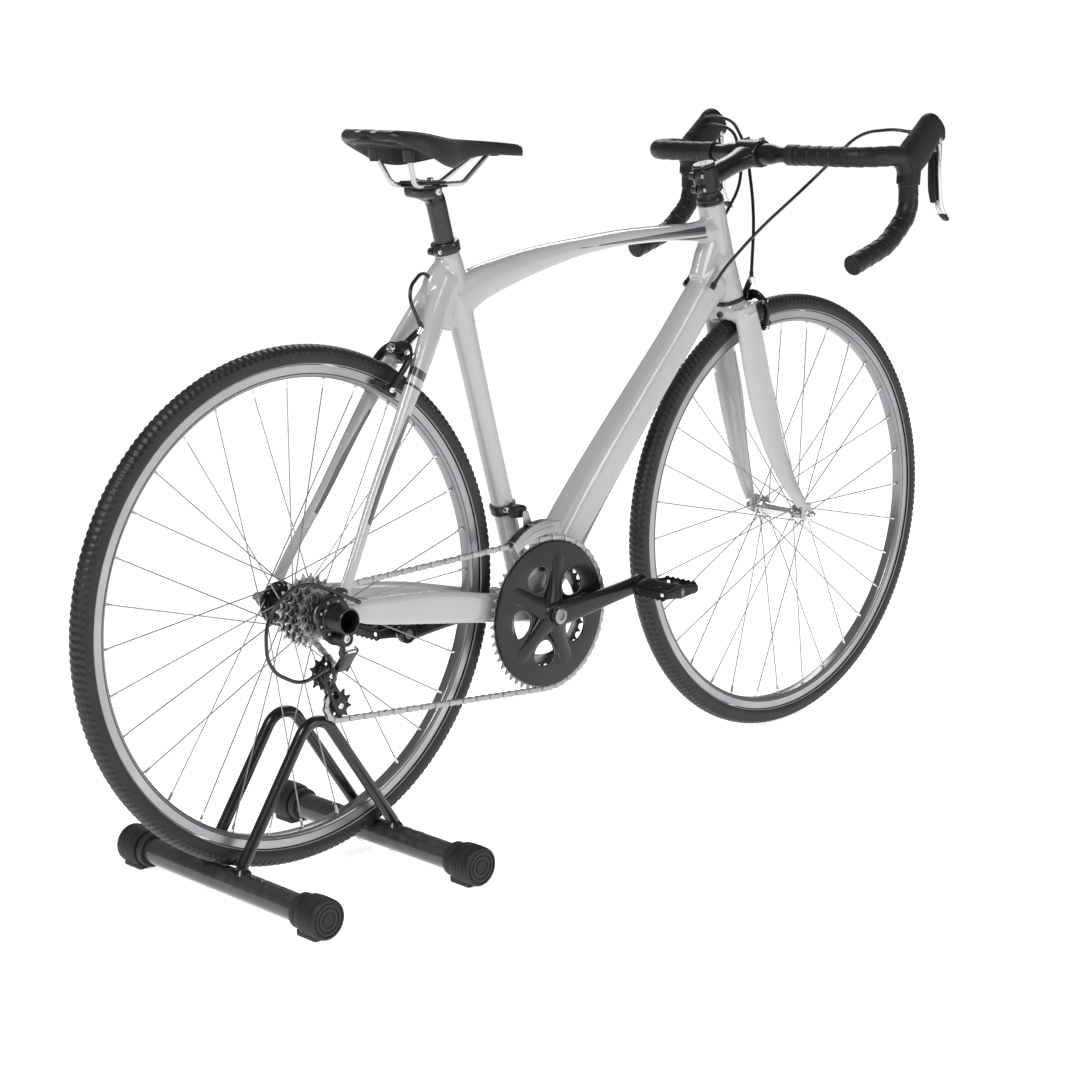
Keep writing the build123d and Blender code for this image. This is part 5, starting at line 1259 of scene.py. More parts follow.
def buildStem():
    root = stemBase + steerUp * 0.019
    ahead = (barCentre - root).normalized()
    clay = Clay()
    clay.add(*turned(stemBase + steerUp * 0.0006, steerUp, [(0, 18.2), (1, 19), (36, 19), (36.8, 18.2)],
        48))
    rows = []
    for t, wide, deep in ((0.0, 0.0165, 0.0165), (0.03, 0.0155, 0.0155), (0.06, 0.0150, 0.0148),
            (0.078, 0.0175, 0.0158), (0.091, 0.0212, 0.0172)):
        spot = root + ahead * t
        rows.append((*spot, wide, deep))
    clay.add(*limb(rows, power=2.6, steps=6, count=36))
    clay.add(*turned(barCentre - across * 0.0218, across, [(0, 20.2), (1.2, 20.7), (42.4, 20.7),
        (43.6, 20.2)], 48))
    mesh = clay.fused(0.0013, passes=5)
    bm = bmesh.new()
    bm.from_mesh(mesh)
    geom = bm.verts[:] + bm.edges[:] + bm.faces[:]
    bmesh.ops.bisect_plane(bm, geom=geom, plane_co=barCentre + ahead * 0.0006, plane_no=ahead,
        clear_outer=True)
    edges = [e for e in bm.edges if e.is_boundary]
    bmesh.ops.holes_fill(bm, edges=edges)
    bm.to_mesh(mesh)
    bm.free()
    wearPiece("stem_skin", mesh, "steering", blackMetal, ("stem",), angle=60)
    kit = Kit()
    face = []
    for k in range(17):
        a = -pi / 2 + pi * k / 16
        face.append((0.0207 * cos(a), 0.0207 * sin(a)))
    inner = [(max(0.0161 * cos(a), 0.0), 0.0161 * sin(a)) for a in [pi / 2 - pi * k / 16
        for k in range(17)]]
    up = ahead.cross(-across).normalized()
    outline = [(x + 0.0013, y) for x, y in face] + [(x + 0.0013, y) for x, y in inner]
    lift = up if up.z >= 0 else -up
    turn = Matrix((ahead, lift, ahead.cross(lift))).transposed().to_4x4()
    kit.add(plate([outline], 0.0436, 0.0009, Matrix.Translation(barCentre) @ turn))
    for y in (-0.0145, 0.0145):
        for way in (-1, 1):
            kit.add(bolt(barCentre + ahead * 0.0085 + lift * way * 0.0178 + across * y, ahead, 0.0036,
                0.0085), 1)
    kit.build("stem_faceplate_skin", "steering", [blackMetal, darkSteel],
        ("stem_faceplate",), angle=40)
    kit = Kit()
    base = headHigh + steerUp * 0.0042
    profile = [(0, 0.0205), (0.0009, 0.0206), (0.0045, 0.0196), (0.0078, 0.0178)]
    kit.add(lathe(base, steerUp, profile, 56))
    for k in range(2):
        low = 0.0081 + k * 0.0029
        kit.add(lathe(base, steerUp, [(low, 0.0168), (low + 0.0004, 0.0173), (low + 0.0023, 0.0173),
            (low + 0.0027, 0.0168)], 56))
    top = stemBase + steerUp * 0.0382
    kit.add(turned(top, steerUp, [(0, 16.8), (0.6, 17.2), (2.8, 17.1), (4.8, 15.5), (5.4, 12), (5.4, 5.2),
        (4.2, 4.8)], 56))
    kit.add(bolt(top + steerUp * 0.0036, steerUp, 0.0042, 0.0022), 1)
    for way in (-1, 1):
        spot = stemBase + steerUp * (0.019 + way * 0.0105) - steerFront * 0.0205
        for side in (-1, 1):
            kit.add(turned(spot + across * side * 0.0015, across * side,
                [(0, 4.6), (0.6, 5.2), (9.8, 5.2), (10.6, 4.5)], 24))
        kit.add(bolt(spot - across * 0.0115, -across, 0.0034, 0.0024), 1)
    kit.build("headset_stack_skin", "steering", [blackMetal, steel], ("headset_stack",),
        angle=40)
    kit = Kit()
    for end, way, r in ((headLow, -1, 0.0236), (headHigh, 1, 0.0203)):
        kit.add(lathe(end - steerUp * way * 0.0004, steerUp * way,
            [(0, r), (0.0006, r + 0.0005), (0.0018, r + 0.0006), (0.0021, r + 0.0001),
            (0.0036, r + 0.0001), (0.0041, r - 0.0006), (0.0041, 0.0152)], 56))
    for s in (-1, 1):
        notch = lambda along, r, k: -0.0007 if k % 4 in (0, 1) and r > 0.019 else 0.0
        kit.add(lathe(bracket + across * s * 0.0338, across * s, [(0, 0.0198), (0.0004, 0.0203),
            (0.0022, 0.0203), (0.0026, 0.0196), (0.0026, 0.0098)], 64, spread=notch))
    kit.build("bearing_cups_skin", "frame", [blackMetal], ("bearing_cups",), angle=40)


buildBar()
buildHoods()
buildLevers()
buildStem()
print("cockpit built")

gears = {"ring": 54, "inner": 39, "cogs": (12, 13, 14, 15, 17, 19, 21, 23), "driven": 2,
    "cogPitch": 0.0048, "jockey": 10, "link": 0.0127, "seat": 0.0040, "bolts": 0.071}


def pitchRadius(teeth):
    return gears["link"] / 2 / sin(pi / teeth)


ringRadius, jockeyRadius = pitchRadius(gears["ring"]), pitchRadius(gears["jockey"])
drivenRadius = pitchRadius(gears["cogs"][gears["driven"]])
upperJockey, lowerJockey = at("upper_jockey_spin"), at("lower_jockey_spin")
stops = [(bracket, ringRadius, 1), (rearAxle, drivenRadius, 1), (upperJockey, jockeyRadius, -1),
    (lowerJockey, jockeyRadius, 1)]


def tangent(a, b):
    gap = b[0] - a[0]
    turn = atan2(gap.z, gap.x) - acos((a[1] * a[2] - b[1] * b[2]) / hypot(gap.x, gap.z))
    out = Vector((cos(turn), 0, sin(turn)))
    return a[0] + out * a[1] * a[2], b[0] + out * b[1] * b[2]


def chainLine():
    # The pin line as short steps, starting where the chain leaves the ring at the top
    marks = []
    for k in range(4):
        start, end = tangent(stops[k], stops[(k + 1) % 4])
        marks.append(start)
        centre, r, way = stops[(k + 1) % 4]
        leave = tangent(stops[(k + 1) % 4], stops[(k + 2) % 4])[0]
        a0 = atan2(end.z - centre.z, end.x - centre.x)
        a1 = atan2(leave.z - centre.z, leave.x - centre.x)
        while way > 0 and a1 < a0:
            a1 += 2 * pi
        while way < 0 and a1 > a0:
            a1 -= 2 * pi
        steps = max(8, int(abs(a1 - a0) * r / 0.001))
        for i in range(steps + 1):
            a = a0 + (a1 - a0) * i / steps
            marks.append(Vector((centre.x + r * cos(a), 0, centre.z + r * sin(a))))
    return marks


def placePins():
    marks = [Vector((m.x, 0, m.z)) for m in chainLine()]
    total = sum((b - a).length for a, b in zip(marks, marks[1:] + marks[:1]))
    count = 2 * round(total / gears["link"] / 2)
    step, pins, travelled, want = total / count, [], 0.0, 0.0
    for a, b in zip(marks, marks[1:] + marks[:1]):
        span = (b - a).length
        while want <= travelled + span and len(pins) < count:
            pins.append(a.lerp(b, (want - travelled) / max(span, 1e-9)))
            want += step
        travelled += span
    return pins


def toothOutline(teeth, centre, phase, tip):
    r, step, seat, out = pitchRadius(teeth), 2 * pi / teeth, gears["seat"], []
    for k in range(teeth):
        g = phase + k * step
        pin = Vector((centre.x + r * cos(g), centre.z + r * sin(g)))
        for b in (62, 34, 0, -34, -62):
            a = g + pi + radians(b)
            out.append((pin.x + seat * cos(a), pin.y + seat * sin(a)))
        for share in (0.42, 0.47, 0.53, 0.58):
            a = g + share * step
            high = r + (tip if 0.45 < share < 0.55 else tip * 0.72)
            out.append((centre.x + high * cos(a), centre.z + high * sin(a)))
    return out


def phaseOf(centre, pins, r):
    near = [q for q in pins if abs((q - Vector((centre.x, 0, centre.z))).length - r) < 0.0004]
    q = near[len(near) // 2]
    return atan2(q.z - centre.z, q.x - centre.x)


def buildChain(pins):
    link = gears["link"]
    figure = []
    for a in range(-100, 101, 25):
        figure.append((link + 0.0040 * cos(radians(a)), 0.0040 * sin(radians(a))))
    figure.append((link * 0.5, 0.0030))
    for a in range(80, 281, 25):
        figure.append((0.0040 * cos(radians(a)), 0.0040 * sin(radians(a))))
    figure.append((link * 0.5, -0.0030))
    flat, flatFaces = plate([figure], 0.0008, 0.00022, Matrix.Identity(4), 1)
    roller = turned((0, 0, 0), (0, 0, 1), [(-1.2, 3.4), (-1.1, 3.7), (1.1, 3.7), (1.2, 3.4)], 12)
    pin = turned((0, 0, 0), (0, 0, 1), [(-3.4, 1.2), (-3.2, 1.8), (3.2, 1.8), (3.4, 1.2)], 10)
    kit = Kit()
    count = len(pins)
    for i in range(count):
        a, b = pins[i], pins[(i + 1) % count]
        turn = Matrix.Rotation(-atan2(b.z - a.z, b.x - a.x), 4, "Y")
        lay = Matrix.Translation((a.x, ringY, a.z)) @ turn @ Matrix.Rotation(pi / 2, 4, "X")
        gap = 0.0017 if i % 2 else 0.0027
        for way in (-1, 1):
            shift = lay @ Matrix.Translation((0, 0, way * gap))
            kit.add(([shift @ v for v in flat], flatFaces))
        kit.add(([lay @ v for v in roller[0]], roller[1]), 1)
        kit.add(([lay @ v for v in pin[0]], pin[1]))
    kit.build("chain_links", "frame", [chainSteel, darkSteel], ("chain",), angle=40)


def cogPlate(teeth, centre, y, thick, phase, hole, windows=(), tip=0.0034):
    loops = [toothOutline(teeth, centre, phase, tip), circle(centre.x, centre.z, hole, 40)]
    loops += list(windows)
    return plate(loops, thick, 0.0004, sidePlane(y), 1)


def around(centre, r, a):
    return centre.x + r * cos(a), centre.z + r * sin(a)


def buildRings(pins):
    phase = phaseOf(bracket, pins, ringRadius)
    kit = Kit()
    kit.add(cogPlate(gears["ring"], bracket, ringY, 0.002, phase, 0.0885))
    kit.add(cogPlate(gears["inner"], bracket, ringY + 0.0074, 0.002, 0.04, 0.0605))
    for k in range(5):
        a = radians(crank["angle"] + 72 * k)
        tab = [around(bracket, 0.093, a - 0.17), around(bracket, 0.093, a + 0.17),
            around(bracket, 0.066, a + 0.14), around(bracket, 0.066, a - 0.14)]
        kit.add(plate([rounded(tab, 0.004)], 0.0019, 0.0004, sidePlane(ringY), 1))
        x, z = around(bracket, gears["bolts"], a)
        kit.add(turned(Vector((x, ringY + 0.0084, z)), across, [(0, 5.8), (1.2, 5.6), (1.6, 4.8),
            (1.6, 3)], 20), 1)
        kit.add(turned(Vector((x, ringY + 0.001, z)), across, [(0, 5), (6.6, 5)], 20), 1)
    for k in range(6):  # shifting pins on the ring's inner face
        x, z = around(bracket, 0.098, 0.5 + k * pi / 3)
        kit.add(turned(Vector((x, ringY + 0.0009, z)), across, [(0, 2.8), (1.1, 2.6), (1.3, 2)], 16), 1)
    kit.build("chainrings_skin", "crank", [darkSteel, brightAlloy], ("chainrings",), angle=40)


crank = {"angle": 5.8, "length": 0.170, "disc": 0.1045, "armY": -0.064,
    "arm": [(-0.004, 64, 6.4, 16.5), (0.02, 65, 7.2, 17), (0.06, 66.2, 6.9, 15.2),
    (0.11, 66.2, 6.5, 13.2), (0.15, 65, 6.2, 12.6), (0.166, 64.3, 6.0, 12.8)],
    "eye": [(0, 0.0132), (0.001, 0.0139), (0.0105, 0.0139), (0.0116, 0.0128)]}


def crankArm(way, s, hubStart, hub):
    # the boss on the spindle, the arm and the eye for the pedal, fused; s is the side
    clay = Clay()
    clay.add(*lathe(bracket + across * hubStart, across * s, hub, 48))
    rows = []
    for t, y, wide, deep in crank["arm"]:
        spot = bracket + way * t
        rows.append((spot.x, s * y * mm, spot.z, wide * mm, deep * mm))
    clay.add(*limb(rows, power=2.8, steps=6, count=32))
    clay.add(*lathe(bracket + way * crank["length"] + across * s * 0.0582, across * s, crank["eye"], 40))
    return clay.fused(0.0014, passes=5)


def buildCranks():
    lean = Vector((cos(radians(crank["angle"])), 0, sin(radians(crank["angle"]))))
    eye = bracket + lean * crank["length"]
    far = bracket - lean * crank["length"]
    spiderY = ringY - 0.0032
    windows = []
    for k in range(5):
        a0, a1 = radians(crank["angle"] + 72 * k), radians(crank["angle"] + 72 * (k + 1))
        middle, ring = (a0 + a1) / 2, []
        for i in range(28):  # egg-shaped window, wider outward
            b = 2 * pi * i / 28
            out, side = 0.0565 + 0.0185 * cos(b), (0.0195 + 0.0035 * cos(b)) * sin(b)
            x, z = out * cos(middle) - side * sin(middle), out * sin(middle) + side * cos(middle)
            ring.append((bracket.x + x, bracket.z + z))
        windows.append(ring)
    kit = Kit()
    kit.add(plate([circle(bracket.x, bracket.z, crank["disc"], 128)] + windows, 0.0042, 0.0017,
        sidePlane(spiderY), 3))
    for k in range(5):  # raised spine of each spider arm
        a = radians(crank["angle"] + 72 * k)
        start, end = around(bracket, 0.014, a), around(bracket, 0.088, a)
        kit.add(limb([(start[0], spiderY - 0.0052, start[1], 0.0072, 0.0175),
            (bracket.x + 0.045 * cos(a), spiderY - 0.0026, bracket.z + 0.045 * sin(a), 0.005, 0.0125),
            (end[0], spiderY + 0.0002, end[1], 0.0022, 0.0135)], power=2.0, steps=6, count=28))
        x, z = around(bracket, gears["bolts"], a)
        kit.add(turned(Vector((x, spiderY - 0.0006, z)), -across, [(0, 6.2), (1.9, 6), (2.6, 5.2),
            (2.6, 3), (1.2, 2.8)], 24), 2)
    boss = [(0, 0.019), (0.003, 0.0198), (0.018, 0.0198), (0.0225, 0.0175)]
    mesh = crankArm(lean, -1, spiderY + 0.008, boss)
    kit.add(shellOf(mesh))
    kit.add(turned(bracket + across * (crank["armY"] - 0.0075), -across,
        [(0, 11.2), (1.6, 11.2), (2.2, 10.4), (2.2, 5.8), (0.6, 5.4)], 32), 3)
    thing = kit.build("crank_arm_right_skin", "crank",
        [blackMetal, greyFacet, brightAlloy, darkSteel], ("crank_arm_right",), angle=40)
    for polygon in thing.data.polygons:  # the windows' sloping edges catch the light
        away = hypot(polygon.center.x - bracket.x, polygon.center.z - bracket.z)
        slope, inset = -polygon.normal.y, abs(polygon.center.y - spiderY)
        if polygon.material_index == 0 and 0.2 < slope < 0.86 and 0.03 < away < 0.08 and inset < 0.0026:
            polygon.material_index = 1
    boss = [(0, 0.0178), (0.002, 0.0195), (0.022, 0.0195), (0.0255, 0.0175)]
    wearPiece("crank_arm_left_skin", crankArm(-lean, 1, 0.0462, boss), "crank", blackMetal,
        ("crank_arm_left",), angle=60)
    kit = Kit()
    kit.add(turned(bracket + across * -0.068, across, [(0, 8.9), (135.5, 8.9)], 32))
    kit.add(turned(bracket + across * 0.0722, across, [(0, 10.8), (1.2, 10.8), (1.6, 9.8), (1.6, 5.6),
        (0.4, 5.2)], 32))
    for spot, s in ((eye, -1), (far, 1)):
        kit.add(turned(spot + across * s * 0.0575, across * s, [(0, 6.2), (0.5, 6.8), (13.5, 6.8),
            (13.8, 7.8), (21.8, 7.8), (22, 4.4), (91.5, 4.4)], 24))
    kit.build("spindles_skin", "crank", [darkSteel], ("spindles",), angle=40)
    return eye, far


pedal = {"inner": 0.082, "outer": 0.150, "plate": 0.0325, "teeth": 12}


def crossPlane(x, y, z):
    # Places a flat outline on a plane across the bicycle
    return Matrix.Translation((x, y, z)) @ Matrix.Rotation(pi / 2, 4, "Z") @ Matrix.Rotation(pi / 2, 4, "X")


def buildPedal(centre, s, name):
    kit = Kit()
    inner, outer = pedal["inner"], pedal["outer"]
    mid = s * (inner + outer) / 2
    spot = Vector((centre.x, mid, centre.z))
    half = (outer - inner) / 2
    for fore in (-1, 1):  # serrated cage plates, front and rear
        teeth, n = [], pedal["teeth"]
        for k in range(n + 1):
            y = -half + 0.004 + (2 * half - 0.008) * k / n
            teeth.append((y, 0.0098 if k % 2 else 0.0072))
        loop = teeth + [(y, -z) for y, z in teeth[::-1]]
        lay = crossPlane(centre.x + fore * pedal["plate"], mid, centre.z)
        slots = [rounded([(c - 0.0075, -0.0032), (c + 0.0075, -0.0032), (c + 0.0075, 0.0032),
            (c - 0.0075, 0.0032)], 0.003) for c in (-0.0195, 0, 0.0195)]
        kit.add(plate([loop] + slots, 0.0024, 0.0004, lay, 1))
    for end in (-1, 1):
        frameBar = [(centre.x + x, mid + end * (half - 0.0035), centre.z, 0.0034, d) for x,
            d in ((-0.0325, 0.0058), (-0.017, 0.0075), (0, 0.0092), (0.017, 0.0075), (0.0325, 0.0058))]
        kit.add(limb(frameBar, power=3.0, steps=4, count=20))
    kit.add(lathe(spot - across * (half - 0.002), across, [(0, 0.0092), (0.002, 0.0105), (0.012, 0.0108),
        (0.02, 0.0092), (2 * half - 0.024, 0.0092), (2 * half - 0.014, 0.0105),
        (2 * half - 0.005, 0.0102), (2 * half - 0.004, 0.0085)], 32))
    ribs = [(centre.x + x, mid, centre.z, 0.004, 0.0045) for x in (-0.0322, -0.016, 0.016, 0.0322)]
    kit.add(limb(ribs, power=3.0, steps=3, count=16))
    kit.add(turned(spot + across * s * (half - 0.0062), across * s,
        [(0, 7.8), (4.5, 7.8), (5.8, 6), (6.2, 2)], 24), 1)
    for fore in (-1, 1):
        reflector = plate([rounded([(-0.021, -0.0042), (0.021, -0.0042), (0.021, 0.0042),
            (-0.021, 0.0042)], 0.0015)], 0.0024, 0.0006, crossPlane(centre.x + fore * 0.0338, mid,
            centre.z), 1)
        kit.add(reflector, 0)
    kit.build("pedal_%s_skin" % name, "pedal_%s_body" % name, [blackPlastic, darkSteel],
        ("pedal_" + name,), angle=40)


def buildCassette(pins):
    kit = Kit()
    outerY = ringY - gears["driven"] * gears["cogPitch"]
    drivePhase = phaseOf(rearAxle, pins, drivenRadius)
    for k, teeth in enumerate(gears["cogs"]):
        y = outerY + k * gears["cogPitch"]
        windows = []
        r = pitchRadius(teeth)
        if teeth >= 17:
            for i in range(6):
                a = i * pi / 3 + k * 0.2
                low, high = 0.0205, r - 0.0085
                arc = [around(rearAxle, high, a + t) for t in (-0.34, -0.12, 0.12,
                    0.34)] + [around(rearAxle, low, a + t) for t in (0.26, 0, -0.26)]
                windows.append(rounded(arc, 0.0022, 2))
        phase = drivePhase if k == gears["driven"] else 0.37 * k
        kit.add(cogPlate(teeth, rearAxle, y, 0.0018, phase, 0.0165, windows), 0 if k % 2 else 1)
        if k:
            kit.add(turned((rearAxle.x, y - 0.0039, rearAxle.z), across,
                [(0, 17.2), (0.2, 19.2), (2.8, 19.2), (3, 17.2)], 40), 2)
    notch = lambda along, r, k: -0.0008 if k % 3 == 0 and along < 0.0012 else 0.0
    kit.add(lathe((rearAxle.x, outerY - 0.0032, rearAxle.z), across,
        [(0, 0.0108), (0, 0.0158), (0.001, 0.0164), (0.0022, 0.0164), (0.0022, 0.0150)], 72,
        spread=notch), 1)
    kit.add(turned((rearAxle.x, outerY - 0.001, rearAxle.z), across, [(0, 15.8), (34, 15.8)], 40), 2)
    kit.build("cassette_skin", "cogs", [steel, darkSteel, blackMetal], ("cassette",), angle=40)


def buildJockeys(pins):
    for centre, name in ((upperJockey, "upper_jockey"), (lowerJockey, "lower_jockey")):
        kit = Kit()
        windows = [circle(*around(centre, 0.0122, k * pi / 3), 0.0026, 14) for k in range(6)]
        kit.add(cogPlate(gears["jockey"], centre, ringY, 0.0022, phaseOf(centre, pins, jockeyRadius),
            0.0062, windows, tip=0.0022))
        kit.add(turned(centre + across * (ringY - 0.0031), across,
            [(0, 3.4), (0, 7.2), (0.6, 7.8), (5.6, 7.8), (6.2, 7.2), (6.2, 3.4)], 32), 1)
        kit.build(name + "_skin", name + "_wheel", [blackPlastic, darkSteel], (name,),
            angle=40)


chainPins = placePins()
buildChain(chainPins)
buildRings(chainPins)
rightEye, leftEye = buildCranks()
buildPedal(rightEye, -1, "right")
buildPedal(leftEye, 1, "left")
buildCassette(chainPins)
buildJockeys(chainPins)
print("drivetrain built, chain links:", len(chainPins))
shifter = {"bolt": (8, -75.4, -27), "linkTop": (22, -82.5, -48), "linkFoot": (22, -62.5, -75.5),
    "linkHalf": 0.011, "outer": -0.0514, "inner": -0.0414, "boss": -0.0527, "plate": 0.0018}
seatTubeR = 0.0159
peg = {"back": -0.0755, "flange": 0.027, "outer": 0.0175, "bore": 0.0145, "length": 0.031, "holes": 8,
    "holeRing": 0.022}
sideways = Vector((1, 0, 0))


def near(base, x, y, z):
    return Vector((base.x + x * mm, y * mm, base.z + z * mm))


def buildPeg():
    back, out = Vector((rearAxle.x, peg["back"], rearAxle.z)), -across
    kit = Kit()
    holes = [circle(*around(rearAxle, peg["holeRing"], radians(22.5 + 45 * k)), 0.0022,
        16) for k in range(peg["holes"])]
    kit.add(plate([circle(rearAxle.x, rearAxle.z, peg["flange"], 72)] + holes
        + [circle(rearAxle.x, rearAxle.z, peg["bore"], 40)], 0.003, 0.0006,
        sidePlane(peg["back"] - 0.0015), 2))
    for k in range(peg["holes"]):
        x, z = around(rearAxle, peg["holeRing"], radians(22.5 + 45 * k))
        kit.add(turned(Vector((x, peg["back"] - 0.0002, z)), out, [(0, 2.1), (1.8, 2.1), (2.4, 1.6),
            (2.6, 0.4)], 16), 1)
    shape = [(0.003, 0.0195), (0.0045, 0.0182), (0.006, peg["outer"]), (peg["length"], peg["outer"]),
        (0.0328, 0.0171), (0.034, 0.0163), (0.034, 0.0152), (0.033, 0.0146), (0.007, peg["bore"]),
        (0.0062, 0.0138), (0.0062, 0.0066)]
    kit.add(lathe(back, out, shape, 72))
    kit.build("axle_peg_skin", "frame", [blackMetal, whiteDot], ("axle_peg",), angle=40)
    kit = Kit()
    kit.add(turned(Vector((rearAxle.x, -0.0808, rearAxle.z)), across,
        [(0, 2.8), (0, 4.4), (0.4, 4.8), (165, 4.8), (165.6, 4.2)], 32))
    kit.add(turned(Vector((rearAxle.x, -0.061, rearAxle.z)), across,
        [(0, 6.8), (0, 8), (0.8, 8.3), (3.5, 8.3)], 40))
    left = Vector((rearAxle.x, 0.0712, rearAxle.z))
    kit.add(turned(left, across, [(0, 10.5), (1.2, 10.5), (1.4, 8.8), (8.8, 8.8), (9.6, 7.8)], 6), 1)
    kit.add(turned(left + across * 0.009, across, [(0, 6.2), (3, 6), (5.2, 4.6), (6, 2)], 32), 1)
    kit.build("rear_axle_skin", "frame", [steel, brightAlloy], ("rear_axle",), angle=40)


def buildHanger():
    outline = [(14, 38), (30, 30), (18, 18), (14, -6), (21, -24), (14, -38), (0, -38), (-12, -28),
        (-23, -14), (-26, 2), (-21, 18), (-7, 30)]
    loop = rounded([(rearAxle.x + x * mm, rearAxle.z + z * mm) for x, z in outline], 0.006, 4)
    kit = Kit()
    kit.add(plate([loop, circle(rearAxle.x, rearAxle.z, 0.0052, 28)], 0.004, 0.001, sidePlane(-0.0732), 2))
    for x, z in ((20, 27), (6, 29), (-17, -10)):  # small screws that hold the plate
        kit.add(bolt(near(rearAxle, x, -75.1, z), -across, 0.0027, 0.0015, True, 20), 1)
    pivot = near(rearAxle, *shifter["bolt"])
    kit.add(turned(pivot, -across, [(-1.5, 10.5), (0.5, 11.2), (2, 10.5), (17.5, 10.5), (19.2, 9.9),
        (19.8, 9), (19.8, 6.6), (18.2, 6.2), (18.2, 3.5), (16.8, 3.2)], 48))
    kit.add(turned(pivot - across * 0.0168, -across, [(0, 6.2), (1.8, 6), (2.2, 5.2), (2.2, 3), (1, 2.8)],
        6), 1)
    top = near(rearAxle, *shifter["linkTop"])
    clay = Clay()
    arm = [(pivot.x, -0.0868, pivot.z - 0.002, 0.0062, 0.0062), (top.x - 0.0138, -0.0842, top.z + 0.013,
        0.0052, 0.0028), (top.x - 0.0138, -0.0825, top.z, 0.0046, 0.0022)]
    clay.add(*limb(arm, power=2.8, steps=5, count=24))
    clay.add(*turned(top - sideways * 0.0159, sideways, [(0, 5.5), (0.6, 6), (3.8, 6), (4.3, 5.6)], 28))
    mesh = clay.fused(0.0008, passes=3)
    kit.add(shellOf(mesh))
    kit.build("derailleur_hanger_skin", "frame", [blackMetal, steel],
        ("derailleur_hanger",), angle=40)


def buildShifter():
    top, foot = near(rearAxle, *shifter["linkTop"]), near(rearAxle, *shifter["linkFoot"])
    run = (foot - top).normalized()
    flat = run.cross(sideways).normalized()
    half = shifter["linkHalf"]
    kit = Kit()
    for way in (-1, 1):
        edge = sideways * way * (half - 0.0018)
        kit.add(limb([(*(top - run * 0.003 + edge), 0.0017, 0.0046),
            (*((top + foot) / 2 + edge), 0.0017, 0.0036), (*(foot + run * 0.003 + edge), 0.0017, 0.0046)],
            power=3.0, steps=4, count=20, wide=sideways))
    kit.add(limb([(*(top + flat * 0.001), half - 0.001, 0.0028), (*((top + foot) / 2 + flat * 0.0016),
        half - 0.001, 0.0026), (*(foot + flat * 0.001), half - 0.001, 0.0028)], power=4.0, steps=4,
        count=24, wide=sideways))
    for spot in (top, foot):
        kit.add(turned(spot - sideways * (half + 0.0001), sideways,
            [(0, 3.4), (0.4, 4.2), (1.2, 4.2), (1.4, 3.4), (20.6, 3.4), (20.8, 4.2), (21.6, 4.2),
            (22, 3.4)], 24), 1)
    kit.build("rear_derailleur_link_skin", "mech_link", [blackMetal, brightAlloy],
        ("rear_derailleur_link",), angle=40)
    boss = Vector((upperJockey.x, shifter["boss"], upperJockey.z))
    neck = foot - sideways * (half + 0.0005)
    clay = Clay()
    clay.add(*turned(neck, -sideways, [(0, 6), (0.5, 6.5), (5.5, 6.5), (6, 6)], 28))
    clay.add(*limb([(neck.x - 0.003, foot.y, foot.z + 0.005, 0.0055, 0.0032),
        (neck.x - 0.003, foot.y, foot.z - 0.004, 0.0056, 0.0034), (neck.x - 0.001, foot.y + 0.0018,
        upperJockey.z - 0.005, 0.0048, 0.0058)], power=3.0, steps=5, count=24))
    clay.add(*limb([(upperJockey.x - 0.0005, foot.y + 0.0015, upperJockey.z - 0.0035, 0.004, 0.0074),
        (upperJockey.x + 0.009, foot.y + 0.0012, upperJockey.z - 0.003, 0.0038, 0.0066)], power=2.8,
        steps=4, count=24))
    clay.add(*turned(boss, -across, [(0, 6.5), (5.5, 6.5), (6.2, 5.8)], 32))
    mesh = clay.fused(0.0008, passes=3)
    kit = Kit()
    kit.add(shellOf(mesh))
    kit.add(bolt(boss - across * 0.0118, -across, 0.0038, 0.0016), 1)
    for lift in (0.0, 0.0065):  # limit screws
        kit.add(bolt(Vector((neck.x - 0.0058, foot.y - 0.002 + lift * 0.4, foot.z - 0.004 - lift)),
            -sideways, 0.0017, 0.0018), 1)
    kit.build("rear_derailleur_body_skin", "mech_body", [blackMetal, brightAlloy],
        ("rear_derailleur_body",), angle=40)
    line = (lowerJockey - upperJockey)
    reach, line = line.length, line.normalized()
    wide = Vector((-line.z, 0, line.x))

    def spot(along, out):
        v = upperJockey + line * along + wide * out
        return v.x, v.z

    outline = rounded([spot(-0.013, -0.005), spot(-0.013, 0.005), spot(0, 0.0105),
        spot(reach * 0.5, 0.0075), spot(reach, 0.0105), spot(reach + 0.013, 0.005),
        spot(reach + 0.013, -0.005), spot(reach, -0.0105), spot(reach * 0.5, -0.0075), spot(0, -0.0105)],
        0.0045, 4)
    gaps = [rounded([spot(reach * a, -w), spot(reach * a, w), spot(reach * b, w), spot(reach * b, -w)],
        0.0018, 3) for a, b, w in ((0.22, 0.44, 0.0036), (0.56, 0.78, 0.0036))]
    kit = Kit()
    kit.add(plate([outline] + gaps, shifter["plate"], 0.0005, sidePlane(shifter["outer"]), 2))
    kit.add(plate([outline] + gaps, shifter["plate"], 0.0005, sidePlane(shifter["inner"]), 2), 1)
    for centre, y in ((upperJockey, -0.0598), (lowerJockey, -0.0524)):
        kit.add(lathe(Vector((centre.x, y, centre.z)), across, [(0, 0.0029), (abs(y) - 0.0402, 0.0029)],
            24), 1)
    kit.add(bolt(Vector((lowerJockey.x, -0.0522, lowerJockey.z)), -across, 0.0042, 0.0016), 1)
    kit.add(bolt(Vector((upperJockey.x, -0.0405, upperJockey.z)), across, 0.0042, 0.0014), 1)
    kit.add(bolt(Vector((lowerJockey.x, -0.0405, lowerJockey.z)), across, 0.0042, 0.0014), 1)
    kit.build("rear_derailleur_cage_skin", "mech_cage", [blackMetal, brightAlloy],
        ("rear_derailleur_cage",), angle=40)


